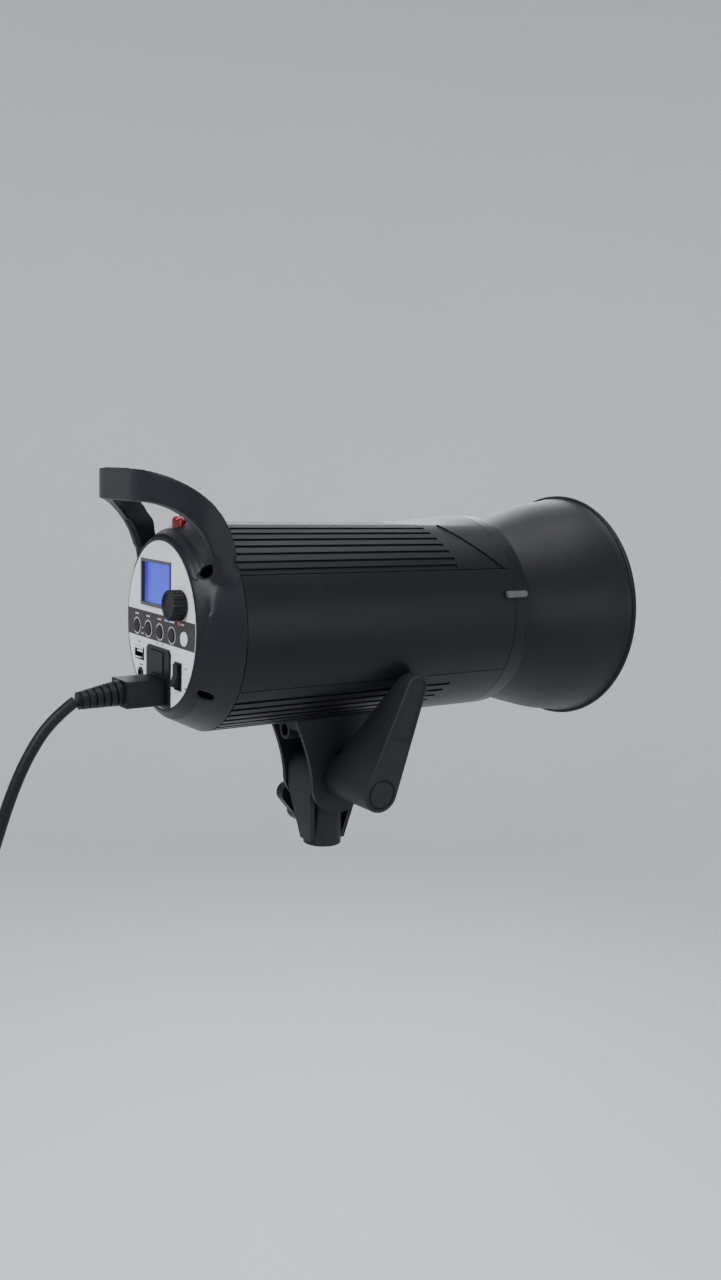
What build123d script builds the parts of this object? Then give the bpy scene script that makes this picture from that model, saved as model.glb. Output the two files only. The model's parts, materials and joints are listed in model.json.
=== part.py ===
"""Monolight studio strobe on a tilt bracket, with its reflector and mains lead.

Millimetres.  X runs along the beam, Y to the operator's left, Z up.
The origin is the centre of the mouth of the stand socket.
"""
from build123d import *
import math
import os

os.makedirs("parts", exist_ok=True)

# ---------------------------------------------------------------- driving dimensions
# Housing
BODY_D = 140.0           # round housing, outside
HOUSING_L = 212.3        # housing from the rear seam to the collar seam
HOUSING_X0 = -101.5      # rear seam, measured from the stand socket
SHELL_T = 2.6            # moulded wall
TOP_FLAT = 5.5           # how far the ribbed top lies under the full round
SWOOP_L = 45.0           # length over which the ribbed top rises to the collar
TOP_SPLIT_Z = 36.0       # seam of the top cover over the beam axis
BOTTOM_SPLIT_Z = -35.4   # seam of the bottom cover
SEAM = 0.4               # open seam between neighbouring covers
GROOVE_W = 2.3           # width of a groove between two ribs
GROOVE_DEPTH = 1.1
GROOVE_STEP = 5.15       # angle between grooves, degrees
TOP_GROOVES = 10         # grooves each side of the middle one, on the top
BOTTOM_GROOVES = 7       # the same on the bottom, outside the bracket
RIB_FRONT = 44.3         # longest top groove ends this far behind the collar seam
TOP_STAGGER = 1.75       # each groove towards the middle is this much shorter
BOTTOM_STAGGER = 3.0
CHANNEL_W = 3.4          # wide groove over the seam of the top cover
CHANNEL_ANGLE = 56.5
CREASE_DEPTH = 0.8       # the ribbed top lies this far under the full round at its sides
CREASE = (108.8, 60.9)   # the crease, along X, at the seam and 38 mm over it
CREASE_RISE = 38.0

# Collar, bayonet and release slider
COLLAR_L = 13.7
COLLAR_BORE_R = 61.0
BAYONET_R = 50.0         # free opening of the bayonet ring
BAYONET_LUG = 3.4        # how far a lug reaches behind the ring's lip
LUG_ANGLE = 16.0
LUG_GAP_ANGLE = 20.0
TWIST_ANGLE = 22.0
LIP_T = 4.0
PIN_R = 1.6
SLIDER_L = 18.8
SLIDER_H = 4.6
SLIDER_Z = 19.0
SLIDER_TRAVEL = 4.0

# Reflector: distance in front of the collar and outside radius
REFLECTOR_CURVE = [(1.0, 62.5), (19.0, 67.4), (42.0, 74.5), (62.0, 79.8), (80.5, 82.6), (86.0, 83.5), (90.0, 85.2)]
REFLECTOR_T = 1.2
RIM_BEAD_R = 1.7
UMBRELLA_R = 4.2         # hole for an 8 mm umbrella shaft
UMBRELLA_DROP = 7.0      # its axis under the housing
UMBRELLA_SLOT = 2.5      # room round the shaft where it passes the bowl

# Lamp head
LAMP_DISH_GAP = 3.0      # dish of the lamp plate inside the bayonet opening
LAMP_PLATE_DEPTH = 21.0  # behind the front of the collar
FLASH_RING_R = 26.0
FLASH_TUBE_R = 3.4
BULB_R = 15.0
LAMP_SOCKET_R = 12.5

# Rear cover and control panel
CONE_X = 11.0            # first rear step, behind the rear seam
CONE_DROP = 5.3
CONE2_X = 20.0           # second rear step
CONE2_DROP = 9.6
REAR_DEPTH = 24.8        # panel face behind the rear seam
PANEL_INSET_Y = 20.1     # panel half width under the housing radius
PANEL_INSET_Z = 16.8
PANEL_T = 1.2
RIM_W = 1.6              # dark rim round the panel
BAND_Z = (-10.8, 6.5)
BAND_T = 0.3
LCD_Y = (-16.0, 29.0)
LCD_Z = (10.4, 40.7)
LCD_FRAME = 2.2
LCD_PROUD = 0.7
BUTTON_PITCH = 17.5
BUTTON_Z = -4.5
BUTTON_R = 4.6
BUTTON_PROUD = 1.0
BUTTON_CLEAR = 0.2
DIAL_R = 9.6
DIAL_H = 9.0
DIAL_Y = -31.0
DIAL_Z = 16.0
USB_Y = (24.2, 39.5)
USB_Z = (-26.3, -17.7)
JACK_Y = 29.0
JACK_Z = -35.0
JACK_R = 3.6
JACK_BORE_R = 1.8
INLET_Y = (-16.5, 17.5)
INLET_Z = (-52.0, -14.0)
INLET_PROUD = 1.6
INLET_DEPTH = 24.0
DRAWER_W = 18.0
DRAWER_Z = (-31.0, -16.5)
DRAWER_L = 17.0
ROCKER_Y = (-31.9, -22.7)
ROCKER_Z = (-37.3, -19.9)
ROCKER_TILT = 9.0
ROCKER_PIN_R = 1.2
ROCKER_PIN_X = 0.5       # its axis, in front of the panel's face
DOME_R = 3.8
DOME_TOP = 69.0          # top of the sensor dome over the beam axis
SCREW_R = 2.9

# Handle
HANDLE_T = 8.6
HANDLE_FRONT_Y = 61.5    # outside half width where it leaves the housing
HANDLE_REAR_Y = 54.7     # outside half width at the cross bar
HANDLE_CORNER_R = 40.0
HANDLE_REAR_X = 54.5     # rear face behind the rear seam
# distance in front of the rear seam and height over the beam axis
HANDLE_FRONT_EDGE = [(2.0, 27.0), (-1.8, 43.0), (-6.8, 61.6), (-14.2, 74.0), (-28.0, 86.0), (-45.0, 94.8)]
HANDLE_REAR_EDGE = [(-45.8, 77.4), (-31.5, 69.2), (-19.6, 51.6), (-16.6, 34.4)]
HANDLE_BAR_Z = (77.9, 97.8)

# Tilt bracket, receiver, lever and knob
TILT_Z = 51.5            # tilt axis over the mouth of the stand socket
BRACKET_GAP = 40.0       # tilt axis to the underside of the housing
CHEEK_Y = 20.4           # outside half width over the cheeks
CHEEK_T = 3.4
CHEEK_R = 21.5
WEB_T = 5.0
HUB_BOSS_R = 14.8
HUB_BOSS_T = 1.0
BOLT_R = 4.0
RUNNING = 0.05           # radial clearance of a running fit
BARREL_R = 20.0
BARREL_Y = 16.2
SOCKET_R = 8.1           # bore for a 5/8 inch spigot
SOCKET_DEPTH = 36.0
SOCKET_WALL = 5.3
FIN_T = 3.6
FIN_FOOT = (14.0, 6.7)   # half length and half width of the fins at their feet
KNOB_Z = 16.5
KNOB_GAP = 1.0           # knob outside the cheek
KNOB_T = 13.6
KNOB_HUB_R = 9.0
WING_L = 25.5
WING_W = 15.0
WING_ANGLE = 130.0
STUD_R = 4.0
LEVER_L = 82.5
LEVER_ANGLE = 18.0       # lean of the lever from upright towards the front
LEVER_BASE_R = 12.8
LEVER_TIP_R = 8.0
LEVER_Y = (-70.0, -76.5) # outer face at the hub and at the tip
LEVER_CLEAR = 1.5
RECESS_S = 37.0          # lower end of the lever's grip recess, from the tilt axis
RECESS_RIM = 2.4
RECESS_DEPTH = 1.0
HUB_RING_R = (9.0, 10.0) # ring turned into the lever's hub
NUT_R = 7.4
NUT_H = 6.5

# Mains lead
CORD_R = 3.7
PLUG_Y = (-12.0, 12.6)
PLUG_Z = (-50.0, -33.0)
PLUG_L = 25.3
RELIEF_L = 27.0
RELIEF_R = (8.4, 5.6)
RELIEF_TILT = 6.0
COIL_R = 42.0            # middle of the turns
COIL_W = 23.4
COIL_H = 15.8
COIL_TURN = 55.0         # coil plane, turned from X about Z, degrees
TIE_T = 1.6
TIE_ANGLE = 12.0         # width of the tie, as an angle of the coil
TIE_UP = 10.0            # how far it sits over the coil's side

# ---------------------------------------------------------------- worked out from them
BODY_R = BODY_D / 2
BEAM_Z = TILT_Z + BRACKET_GAP + BODY_R
HOUSING_X1 = HOUSING_X0 + HOUSING_L
COLLAR_X = HOUSING_X1 + COLLAR_L
PANEL_X = HOUSING_X0 - REAR_DEPTH
PANEL_HALF_Y = BODY_R - PANEL_INSET_Y
PANEL_HALF_Z = BODY_R - PANEL_INSET_Z
WALL_X = PANEL_X + PANEL_T                # rear wall, outside, under the panel
WALL_IN = WALL_X + SHELL_T                # rear wall, inside
BEAM = Axis((0, 0, BEAM_Z), (1, 0, 0))
LAMP_PLATE_R = BAYONET_R - LAMP_DISH_GAP
KNOB_Y = (CHEEK_Y + KNOB_GAP, CHEEK_Y + KNOB_GAP + KNOB_T)
BUTTON_YS = [(2 - i) * BUTTON_PITCH for i in range(5)]
RAISE = BODY_R - 70.0                     # what sits on the housing follows its radius


# ---------------------------------------------------------------- small helpers
def block(x, y, z):
    """Box from three (low, high) pairs."""
    size = [high - low for low, high in (x, y, z)]
    return Pos(sum(x) / 2, sum(y) / 2, sum(z) / 2) * Box(*size)


def beam_block(x, y, z):
    """Box whose heights count from the beam axis."""
    return block(x, y, (BEAM_Z + z[0], BEAM_Z + z[1]))


def rod_x(radius, x0, x1, y=0.0, z=0.0):
    """Rod along X; z counts from the beam axis."""
    return Pos((x0 + x1) / 2, y, BEAM_Z + z) * Rot(0, 90, 0) * Cylinder(radius, x1 - x0)


def rod_y(radius, y0, y1, x, z):
    return Pos(x, (y0 + y1) / 2, z) * Rot(90, 0, 0) * Cylinder(radius, y1 - y0)


def rod_z(radius, z0, z1, x=0.0, y=0.0):
    return Pos(x, y, (z0 + z1) / 2) * Cylinder(radius, z1 - z0)


def turned(points):
    """Ring or disc turned about the beam axis from (x, radius) points."""
    outline = Polyline([(x, BEAM_Z + r) for x, r in points], close=True)
    return revolve(Plane.XZ * make_face(outline), BEAM)


def about_beam(part, degrees):
    return Pos(0, 0, BEAM_Z) * Rot(degrees, 0, 0) * Pos(0, 0, -BEAM_Z) * part


def side_plate(edges, y0, y1):
    """Face in the XZ plane from closed edges, pushed out from y0 to y1."""
    face = Plane.XZ.offset(-y0) * make_face(edges)
    return extrude(face, amount=y0 - y1)


def panel_oval(grow, x0, x1):
    """Oval plate parallel to the control panel."""
    oval = Plane((x0, 0, BEAM_Z), x_dir=(0, 1, 0), z_dir=(1, 0, 0))
    return extrude(oval * Ellipse(PANEL_HALF_Y + grow, PANEL_HALF_Z + grow), amount=x1 - x0)


def mirrored(part):
    return part + mirror(part, Plane.XZ)


# ---------------------------------------------------------------- housing covers
def housing_tube():
    """Full round housing with its lowered, ribbed top."""
    top = BEAM_Z + BODY_R - TOP_FLAT
    swoop = HOUSING_X1 - SWOOP_L
    low = BEAM_Z - BODY_R - 1
    edges = [
        Line((HOUSING_X0, low), (HOUSING_X0, top)),
        Line((HOUSING_X0, top), (swoop, top)),
        Spline([(swoop, top), (HOUSING_X1, BEAM_Z + BODY_R)], tangents=[(1, 0), (1, 0.1)]),
        Line((HOUSING_X1, BEAM_Z + BODY_R), (HOUSING_X1, low)),
        Line((HOUSING_X1, low), (HOUSING_X0, low)),
    ]
    outside = rod_x(BODY_R, HOUSING_X0, HOUSING_X1) & side_plate(edges, -BODY_R - 1, BODY_R + 1)
    inside = rod_x(BODY_R - SHELL_T, HOUSING_X0 - 1, HOUSING_X1 + 1)
    ceiling = BODY_R - TOP_FLAT - SHELL_T
    inside &= beam_block((HOUSING_X0 - 2, HOUSING_X1 + 2), (-BODY_R, BODY_R), (-BODY_R, ceiling))
    return outside - inside


def groove(angle, floor_r, x0, x1, width=GROOVE_W):
    """Straight groove along X, cut down to floor_r, at an angle from upright."""
    cut = beam_block((x0, x1), (-width / 2, width / 2), (floor_r, BODY_R + 2))
    return about_beam(cut, angle)


def sunk_top():
    """Skin taken off the sides of the ribbed top, behind a crease that slants up and back."""
    seam_z = BEAM_Z + TOP_SPLIT_Z - 1
    top_z = BEAM_Z + TOP_SPLIT_Z + CREASE_RISE
    side = Polyline([(HOUSING_X0 - 1, seam_z), (CREASE[0], seam_z), (CREASE[1], top_z),
                     (HOUSING_X0 - 1, top_z)], close=True)
    skin = side_plate([side], -BODY_R - 1, BODY_R + 1)
    return skin - rod_x(BODY_R - CREASE_DEPTH, HOUSING_X0 - 2, HOUSING_X1)


def top_cover():
    shell = housing_tube()
    above = beam_block((HOUSING_X0, HOUSING_X1), (-BODY_R, BODY_R), (TOP_SPLIT_Z + SEAM / 2, BODY_R))
    cover = (shell & above) - sunk_top()
    flat_r = BODY_R - TOP_FLAT
    sunk_r = BODY_R - CREASE_DEPTH
    for i in range(-TOP_GROOVES, TOP_GROOVES + 1):
        angle = i * GROOVE_STEP
        surface = min(sunk_r, flat_r / math.cos(math.radians(angle)))
        front = HOUSING_X1 - RIB_FRONT - (TOP_GROOVES - abs(i)) * TOP_STAGGER
        cover -= groove(angle, surface - GROOVE_DEPTH, HOUSING_X0 - 1, front)
    for angle in (-CHANNEL_ANGLE, CHANNEL_ANGLE):
        cover -= groove(angle, sunk_r - GROOVE_DEPTH, HOUSING_X0 - 1, HOUSING_X1 - RIB_FRONT, CHANNEL_W)
    return cover


def bottom_cover():
    shell = housing_tube()
    below = beam_block((HOUSING_X0, HOUSING_X1), (-BODY_R, BODY_R), (-BODY_R, BOTTOM_SPLIT_Z - SEAM / 2))
    cover = shell & below
    first = 180 - 21
    for i in range(BOTTOM_GROOVES):
        front = HOUSING_X1 - RIB_FRONT - (BOTTOM_GROOVES - 1 - i) * BOTTOM_STAGGER
        for side in (-1, 1):
            angle = side * (first - i * GROOVE_STEP)
            cover -= groove(angle, BODY_R - GROOVE_DEPTH, HOUSING_X0 - 1, front)
    for x, y in bracket_screw_places():
        cover -= rod_z(2.6, BEAM_Z - BODY_R - 2, BEAM_Z - BODY_R + 12, x, y)
    return cover


def slider_slot():
    """Slot that the release slider's stem moves in."""
    x1 = COLLAR_X - 9.0
    x0 = x1 - 6.6 - SLIDER_TRAVEL
    return beam_block((x0, x1), (-BODY_R - 1, -52), (SLIDER_Z - 1.9, SLIDER_Z + 1.9))


def side_panel(side):
    shell = housing_tube()
    y = (0, BODY_R) if side > 0 else (-BODY_R, 0)
    z = (BOTTOM_SPLIT_Z + SEAM / 2, TOP_SPLIT_Z - SEAM / 2)
    panel = shell & beam_block((HOUSING_X0, HOUSING_X1), y, z)
    if side < 0:
        panel -= slider_slot()
    return panel


# ---------------------------------------------------------------- collar and bayonet
def front_collar():
    x0 = HOUSING_X1 + SEAM
    collar = turned([(x0, COLLAR_BORE_R), (x0, BODY_R), (COLLAR_X - 0.8, BODY_R),
                     (COLLAR_X, BODY_R - 0.8), (COLLAR_X, COLLAR_BORE_R)])
    pin = lock_pin_place()
    collar -= slider_slot()
    collar -= rod_x(PIN_R + 0.2, x0 - 1, COLLAR_X + 1, *pin)
    return collar


def sector(radius, angle, middle, x0, x1):
    """Slice of a disc about the beam axis, angle wide, centred on middle."""
    slice_plane = Plane((x0, 0, BEAM_Z), x_dir=(0, 1, 0), z_dir=(1, 0, 0))
    half = math.radians(angle / 2)
    far = radius / math.cos(half)
    corners = [(0, 0), (far * math.cos(half), -far * math.sin(half)),
               (far * math.cos(half), far * math.sin(half))]
    wedge = extrude(slice_plane * make_face(Polyline(corners, close=True)), amount=x1 - x0)
    return about_beam(wedge, middle)


def bayonet_ring():
    """Metal ring in the collar with three openings for the reflector's lugs."""
    back = COLLAR_X - 12.0
    lip = COLLAR_X - LIP_T
    pocket = BAYONET_R + BAYONET_LUG + 1.2
    outer = COLLAR_BORE_R - 0.1
    ring = turned([(back, pocket), (back, outer), (COLLAR_X - 0.4, outer),
                   (COLLAR_X - 0.4, BAYONET_R), (lip, BAYONET_R), (lip, pocket)])
    for i in range(3):
        gap = sector(pocket - 0.2, LUG_GAP_ANGLE, i * 120 + TWIST_ANGLE, lip - 1, COLLAR_X + 1)
        ring -= gap & rod_x(BAYONET_R + BAYONET_LUG + 0.6, lip - 1, COLLAR_X + 1)
    y, z = lock_pin_place()
    return ring - rod_x(PIN_R + 0.2, back - 1, COLLAR_X + 1, y, z) - slider_slot()


def lock_pin_place():
    """Y and height of the lock pin, which stands on the slider's stem."""
    return -math.sqrt(56.5 ** 2 - SLIDER_Z ** 2), SLIDER_Z


def release_slider():
    x1 = COLLAR_X - 4.1
    skin = BODY_R + 0.35
    y_out = -math.sqrt(skin ** 2 - (SLIDER_Z - SLIDER_H / 2) ** 2)
    thumb = beam_block((x1 - SLIDER_L, x1), (y_out - 2.6, y_out),
                       (SLIDER_Z - SLIDER_H / 2, SLIDER_Z + SLIDER_H / 2))
    thumb = fillet(thumb.edges().filter_by(Axis.Y), 2.2)
    pin_y = lock_pin_place()[0]
    stem_x1 = COLLAR_X - 9.2
    stem = beam_block((stem_x1 - 6.0, stem_x1), (y_out - 0.1, pin_y - 1.0),
                      (SLIDER_Z - 1.6, SLIDER_Z + 1.6))
    return thumb + stem


def lock_pin():
    y, z = lock_pin_place()
    return rod_x(PIN_R, COLLAR_X - 15.2, COLLAR_X + 2.6, y, z) - release_slider()


# ---------------------------------------------------------------- reflector
def reflector():
    """Spun bowl with a flat back, a rolled rim and a hole for an umbrella shaft."""
    outer = [(COLLAR_X + x, BEAM_Z + r) for x, r in REFLECTOR_CURVE]
    inner = [(x, z - REFLECTOR_T) for x, z in outer]
    back_x = outer[0][0]
    hub = BEAM_Z + BAYONET_R - 2.0
    inner[0] = (back_x + REFLECTOR_T, inner[0][1])
    edges = [
        Line((back_x, hub), outer[0]), Spline(outer), Line(outer[-1], inner[-1]),
        Spline(inner[::-1]), Line(inner[0], (back_x + REFLECTOR_T, hub)),
        Line((back_x + REFLECTOR_T, hub), (back_x, hub)),
    ]
    bowl = revolve(Plane.XZ * make_face(edges), BEAM)
    rim_x, rim_z = outer[-1]
    bead = Plane.XZ * Pos(rim_x, rim_z - REFLECTOR_T / 2) * Circle(RIM_BEAD_R)
    bowl += revolve(bead, BEAM)
    shaft_z = -BODY_R - UMBRELLA_DROP
    bowl -= rod_x(UMBRELLA_R + UMBRELLA_SLOT, back_x + 20, rim_x - 6, 0, shaft_z)
    return bowl - pin_track(back_x)


def pin_track(back_x):
    """Arc slot in the reflector's back that the lock pin runs in while it twists."""
    track = rod_x(58.7, back_x - 1, back_x + 3) - rod_x(54.3, back_x - 2, back_x + 4)
    y, z = lock_pin_place()
    at = math.degrees(math.atan2(z, y))
    return track & sector(59, TWIST_ANGLE + 5, at - TWIST_ANGLE / 2, back_x - 1, back_x + 3)


def reflector_bayonet():
    """Neck ring with three lugs that hook behind the bayonet ring's lips."""
    r = BAYONET_R - 0.6
    front = COLLAR_X + REFLECTOR_CURVE[0][0]
    back = COLLAR_X - LIP_T - 3.0
    neck = rod_x(r, back, front) - rod_x(r - 2.0, back - 1, front + 1)
    lug_x1 = COLLAR_X - LIP_T - 0.2
    band = rod_x(BAYONET_R + BAYONET_LUG, back, lug_x1) - rod_x(r - 1.0, back - 1, lug_x1 + 1)
    for i in range(3):
        neck += band & sector(BAYONET_R + 6, LUG_ANGLE, i * 120, back, lug_x1)
    return neck


# ---------------------------------------------------------------- lamp head
def lamp_plate():
    x1 = COLLAR_X - LAMP_PLATE_DEPTH
    plate = rod_x(BODY_R - TOP_FLAT - SHELL_T - 0.4, x1 - 2.0, x1)
    plate -= rod_x(LAMP_SOCKET_R + 0.3, x1 - 3, x1 + 1)
    for angle in (0, 180):
        y = FLASH_RING_R * math.cos(math.radians(angle))
        plate -= rod_x(FLASH_TUBE_R + 0.3, x1 - 3, x1 + 1, y, 0)
    dish = turned([(x1, LAMP_PLATE_R - 4), (x1, LAMP_PLATE_R), (x1 + 12, LAMP_PLATE_R),
                   (x1 + 12, LAMP_PLATE_R - 1.4), (x1 + 2, LAMP_PLATE_R - 4)])
    return plate + dish


def flash_tube():
    """Ring-shaped glass tube standing on two legs."""
    x_ring = COLLAR_X + 6.0
    x_foot = COLLAR_X - LAMP_PLATE_DEPTH - 4.0
    tube = Pos(x_ring, 0, BEAM_Z) * Rot(0, 90, 0) * Torus(FLASH_RING_R, FLASH_TUBE_R)
    for y in (-FLASH_RING_R, FLASH_RING_R):
        tube += rod_x(FLASH_TUBE_R - 0.5, x_foot, x_ring, y, 0)
    return tube


def lamp_socket():
    x0 = COLLAR_X - 38.0
    x1 = COLLAR_X - 4.0
    cup = rod_x(LAMP_SOCKET_R, x0, x1)
    return cup - rod_x(LAMP_SOCKET_R - 1.8, x0 + 8, x1 + 1)


def modelling_lamp():
    base_r = LAMP_SOCKET_R - 2.1
    x0 = COLLAR_X - 28.0
    neck = rod_x(base_r, x0, COLLAR_X + 2)
    bulb = Pos(COLLAR_X + 14, 0, BEAM_Z) * Sphere(BULB_R)
    return neck + bulb


# ---------------------------------------------------------------- inner workings
def chassis():
    """Folded metal tray that carries the boards and capacitors."""
    floor_z = -44.0 - RAISE
    x0 = HOUSING_X0 + 6.0
    x1 = COLLAR_X - LAMP_PLATE_DEPTH - 4.0
    half = math.sqrt((BODY_R - SHELL_T - 1.0) ** 2 - floor_z ** 2)
    tray = beam_block((x0, x1), (-half + 4, half - 4), (floor_z, floor_z + 1.6))
    for y in (-half + 4, half - 5.6):
        tray += beam_block((x0, x1), (y, y + 1.6), (floor_z, floor_z + 12))
    return tray


def main_capacitors():
    floor = -44.0 - RAISE + 1.7
    pair = [rod_x(19.5, -30.0, 62.0, y, floor + 19.6) for y in (-20.5, 20.5)]
    return Compound(children=pair)


def power_board():
    board = beam_block((-66.0, COLLAR_X - 44.0), (-46, 46), (8.0, 9.6))
    for x in (-50, -20, 14, 44):
        board += beam_block((x, x + 18), (-34, -10), (9.6, 28))
        board += rod_z(8.0, BEAM_Z + 9.6, BEAM_Z + 34, x + 9, 20)
    return board


def transformer():
    core = beam_block((-62.0, -34.0), (-22, 22), (-40.0 - RAISE, -8.0))
    return core


def control_board():
    return beam_block((WALL_IN + 4.6, WALL_IN + 6.2), (-38, 38), (-12, 30))


def fan_frame():
    x = (HOUSING_X0 + 8.0, HOUSING_X0 + 23.0)
    frame = beam_block(x, (-30, 30), (-30, 30))
    frame -= rod_x(28.0, x[0] - 1, x[1] + 1)
    hub = rod_x(9.0, x[1] - 3, x[1])
    for angle in (45, 135, 225, 315):
        strut = beam_block((x[1] - 2.4, x[1]), (0, 29.0), (-1.6, 1.6))
        hub += about_beam(strut, angle)
    return frame + hub


def fan_rotor():
    x0 = HOUSING_X0 + 9.0
    rotor = rod_x(11.0, x0, x0 + 10.4)
    for i in range(7):
        blade = Pos(x0 + 5, 18.5, BEAM_Z) * Rot(0, 35, 0) * Box(9.0, 16.0, 1.4)
        rotor += about_beam(blade, i * 360 / 7)
    return rotor


# ---------------------------------------------------------------- rear cover and handle
def rear_form(shrink):
    """Solid outline of the rear cover, drawn in by shrink on every side."""
    r = [BODY_R - shrink, BODY_R - CONE_DROP - shrink, BODY_R - CONE2_DROP - shrink]
    x = [HOUSING_X0, HOUSING_X0 - CONE_X, HOUSING_X0 - CONE2_X]
    cones = turned([(x[0], 0), (x[0], r[0]), (x[1], r[1]), (x[2], r[2]), (x[2], 0)])
    end = PANEL_X + (0 if shrink == 0 else PANEL_T + shrink)
    wide = Plane((x[2], 0, BEAM_Z), x_dir=(0, 1, 0), z_dir=(-1, 0, 0))
    tight = Plane((end, 0, BEAM_Z), x_dir=(0, 1, 0), z_dir=(-1, 0, 0))
    grow = RIM_W - shrink
    cap = loft([wide * Circle(r[2]), tight * Ellipse(PANEL_HALF_Y + grow, PANEL_HALF_Z + grow)])
    return cones + cap


def panel_openings(x0, x1):
    """Everything that passes through the rear wall, as one cutter."""
    cut = beam_block((x0, x1), (LCD_Y[0] + 1, LCD_Y[1] - 1), (LCD_Z[0] + 1, LCD_Z[1] - 1))
    cut += beam_block((x0, x1), (USB_Y[0] + 0.6, USB_Y[1] - 0.6), (USB_Z[0] + 0.6, USB_Z[1] - 0.6))
    cut += beam_block((x0, x1), (INLET_Y[0] + 2, INLET_Y[1] - 2), (INLET_Z[0] + 2, INLET_Z[1] - 2))
    cut += beam_block((x0, x1), (ROCKER_Y[0] + 0.6, ROCKER_Y[1] - 0.6),
                      (ROCKER_Z[0] + 0.6, ROCKER_Z[1] - 0.6))
    cut += rod_x(JACK_R + 0.1, x0, x1, JACK_Y, JACK_Z)
    cut += rod_x(3.2, x0, x1, DIAL_Y, DIAL_Z)
    for y in BUTTON_YS:
        cut += rod_x(BUTTON_R + BUTTON_CLEAR, x0, x1, y, BUTTON_Z)
    return cut


def dome_x():
    return HOUSING_X0 - CONE_X - 2.0


def screw_places():
    """Y and height of the four screws that hold the rear cover."""
    r = BODY_R - CONE_DROP - 4.0
    return [(r * math.cos(math.radians(a)), r * math.sin(math.radians(a))) for a in (39, 141, 218, 322)]


def rear_cover():
    cover = rear_form(0) - rear_form(SHELL_T)
    cover -= panel_oval(0.1, PANEL_X - 1, WALL_X)
    cover -= panel_openings(WALL_X - 1, WALL_IN + 1)
    cover -= rod_z(DOME_R + 0.1, BEAM_Z + 40, BEAM_Z + BODY_R + 5, dome_x(), 0)
    for y, z in screw_places():
        cover -= rod_x(SCREW_R + 0.2, HOUSING_X0 - CONE2_X - 2, HOUSING_X0 - 8.0, y, z)
    return cover


def rear_screws():
    x1 = HOUSING_X0 - 8.1
    heads = [rod_x(SCREW_R, x1 - 3.0, x1, y, z) for y, z in screw_places()]
    return Compound(children=heads)


def handle():
    """Carrying handle: a U in plan, trimmed by the sweep of its side view."""
    front = HOUSING_X0 + 6.0
    rear = HOUSING_X0 - HANDLE_REAR_X
    front_y = HANDLE_FRONT_Y + RAISE
    rear_y = HANDLE_REAR_Y + RAISE
    t = HANDLE_T
    outer = make_face(Polyline([(front, front_y), (rear, rear_y), (rear, -rear_y), (front, -front_y)],
                               close=True))
    outer = fillet(outer.vertices().sort_by(Axis.X)[:2], HANDLE_CORNER_R)
    inner = make_face(Polyline([(front + 1, front_y - t), (rear + t, rear_y - t),
                                (rear + t, -rear_y + t), (front + 1, -front_y + t)], close=True))
    inner = fillet(inner.vertices().sort_by(Axis.X)[:2], HANDLE_CORNER_R - t + 2)
    wall = Pos(0, 0, BEAM_Z + 20) * extrude(outer - inner, amount=BODY_R + 40)
    top = BEAM_Z + RAISE
    front_edge = [(HOUSING_X0 + x, top + z) for x, z in HANDLE_FRONT_EDGE]
    rear_edge = [(HOUSING_X0 + x, top + z) for x, z in HANDLE_REAR_EDGE]
    bar_top = (rear - 0.1, top + HANDLE_BAR_Z[1])
    bar_low = (rear - 0.1, top + HANDLE_BAR_Z[0])
    edges = [
        Spline(front_edge + [bar_top]), Line(bar_top, bar_low), Spline([bar_low] + rear_edge),
        Line(rear_edge[-1], (HOUSING_X0, front_edge[0][1])),
        Line((HOUSING_X0, front_edge[0][1]), front_edge[0]),
    ]
    grip = wall & side_plate(edges, -BODY_R - 5, BODY_R + 5)
    grip -= rear_form(-0.05)
    grip -= rod_x(BODY_R + 0.05, HOUSING_X0 - 0.1, HOUSING_X0 + 20)
    for y, z in screw_places():
        grip -= rod_x(SCREW_R + 0.6, HOUSING_X0 - CONE2_X, HOUSING_X0, y, z)
    return grip


def sensor_dome():
    """Red window of the optical sensor, on top of the rear cover."""
    top = BEAM_Z + DOME_TOP + RAISE - DOME_R
    stalk = rod_z(DOME_R, top - 12, top, dome_x(), 0)
    return stalk + Pos(dome_x(), 0, top) * Sphere(DOME_R)


# ---------------------------------------------------------------- control panel
def control_panel():
    panel = panel_oval(0, PANEL_X, WALL_X)
    return panel - panel_openings(PANEL_X - 1, WALL_X + 1)


def button_band():
    """Dark strip behind the buttons."""
    strip = panel_oval(-0.2, PANEL_X - BAND_T, PANEL_X)
    strip &= beam_block((PANEL_X - 1, PANEL_X), (-BODY_R, BODY_R), BAND_Z)
    for y in BUTTON_YS:
        strip -= rod_x(BUTTON_R + BUTTON_CLEAR, PANEL_X - 1, PANEL_X + 1, y, BUTTON_Z)
    return strip


def lcd_bezel():
    frame = beam_block((PANEL_X - LCD_PROUD, PANEL_X), LCD_Y, LCD_Z)
    frame += beam_block((PANEL_X, WALL_IN), (LCD_Y[0] + 1.1, LCD_Y[1] - 1.1), (LCD_Z[0] + 1.1, LCD_Z[1] - 1.1))
    w = LCD_FRAME
    return frame - beam_block((PANEL_X - 1, WALL_IN + 1), (LCD_Y[0] + w, LCD_Y[1] - w),
                              (LCD_Z[0] + w, LCD_Z[1] - w))


def lcd_window():
    w = LCD_FRAME + 0.05
    return beam_block((PANEL_X + 1.4, PANEL_X + 3.4), (LCD_Y[0] + w, LCD_Y[1] - w),
                      (LCD_Z[0] + w, LCD_Z[1] - w))


def button(y):
    return rod_x(BUTTON_R, PANEL_X - BUTTON_PROUD, WALL_IN + 1.0, y, BUTTON_Z)


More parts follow.
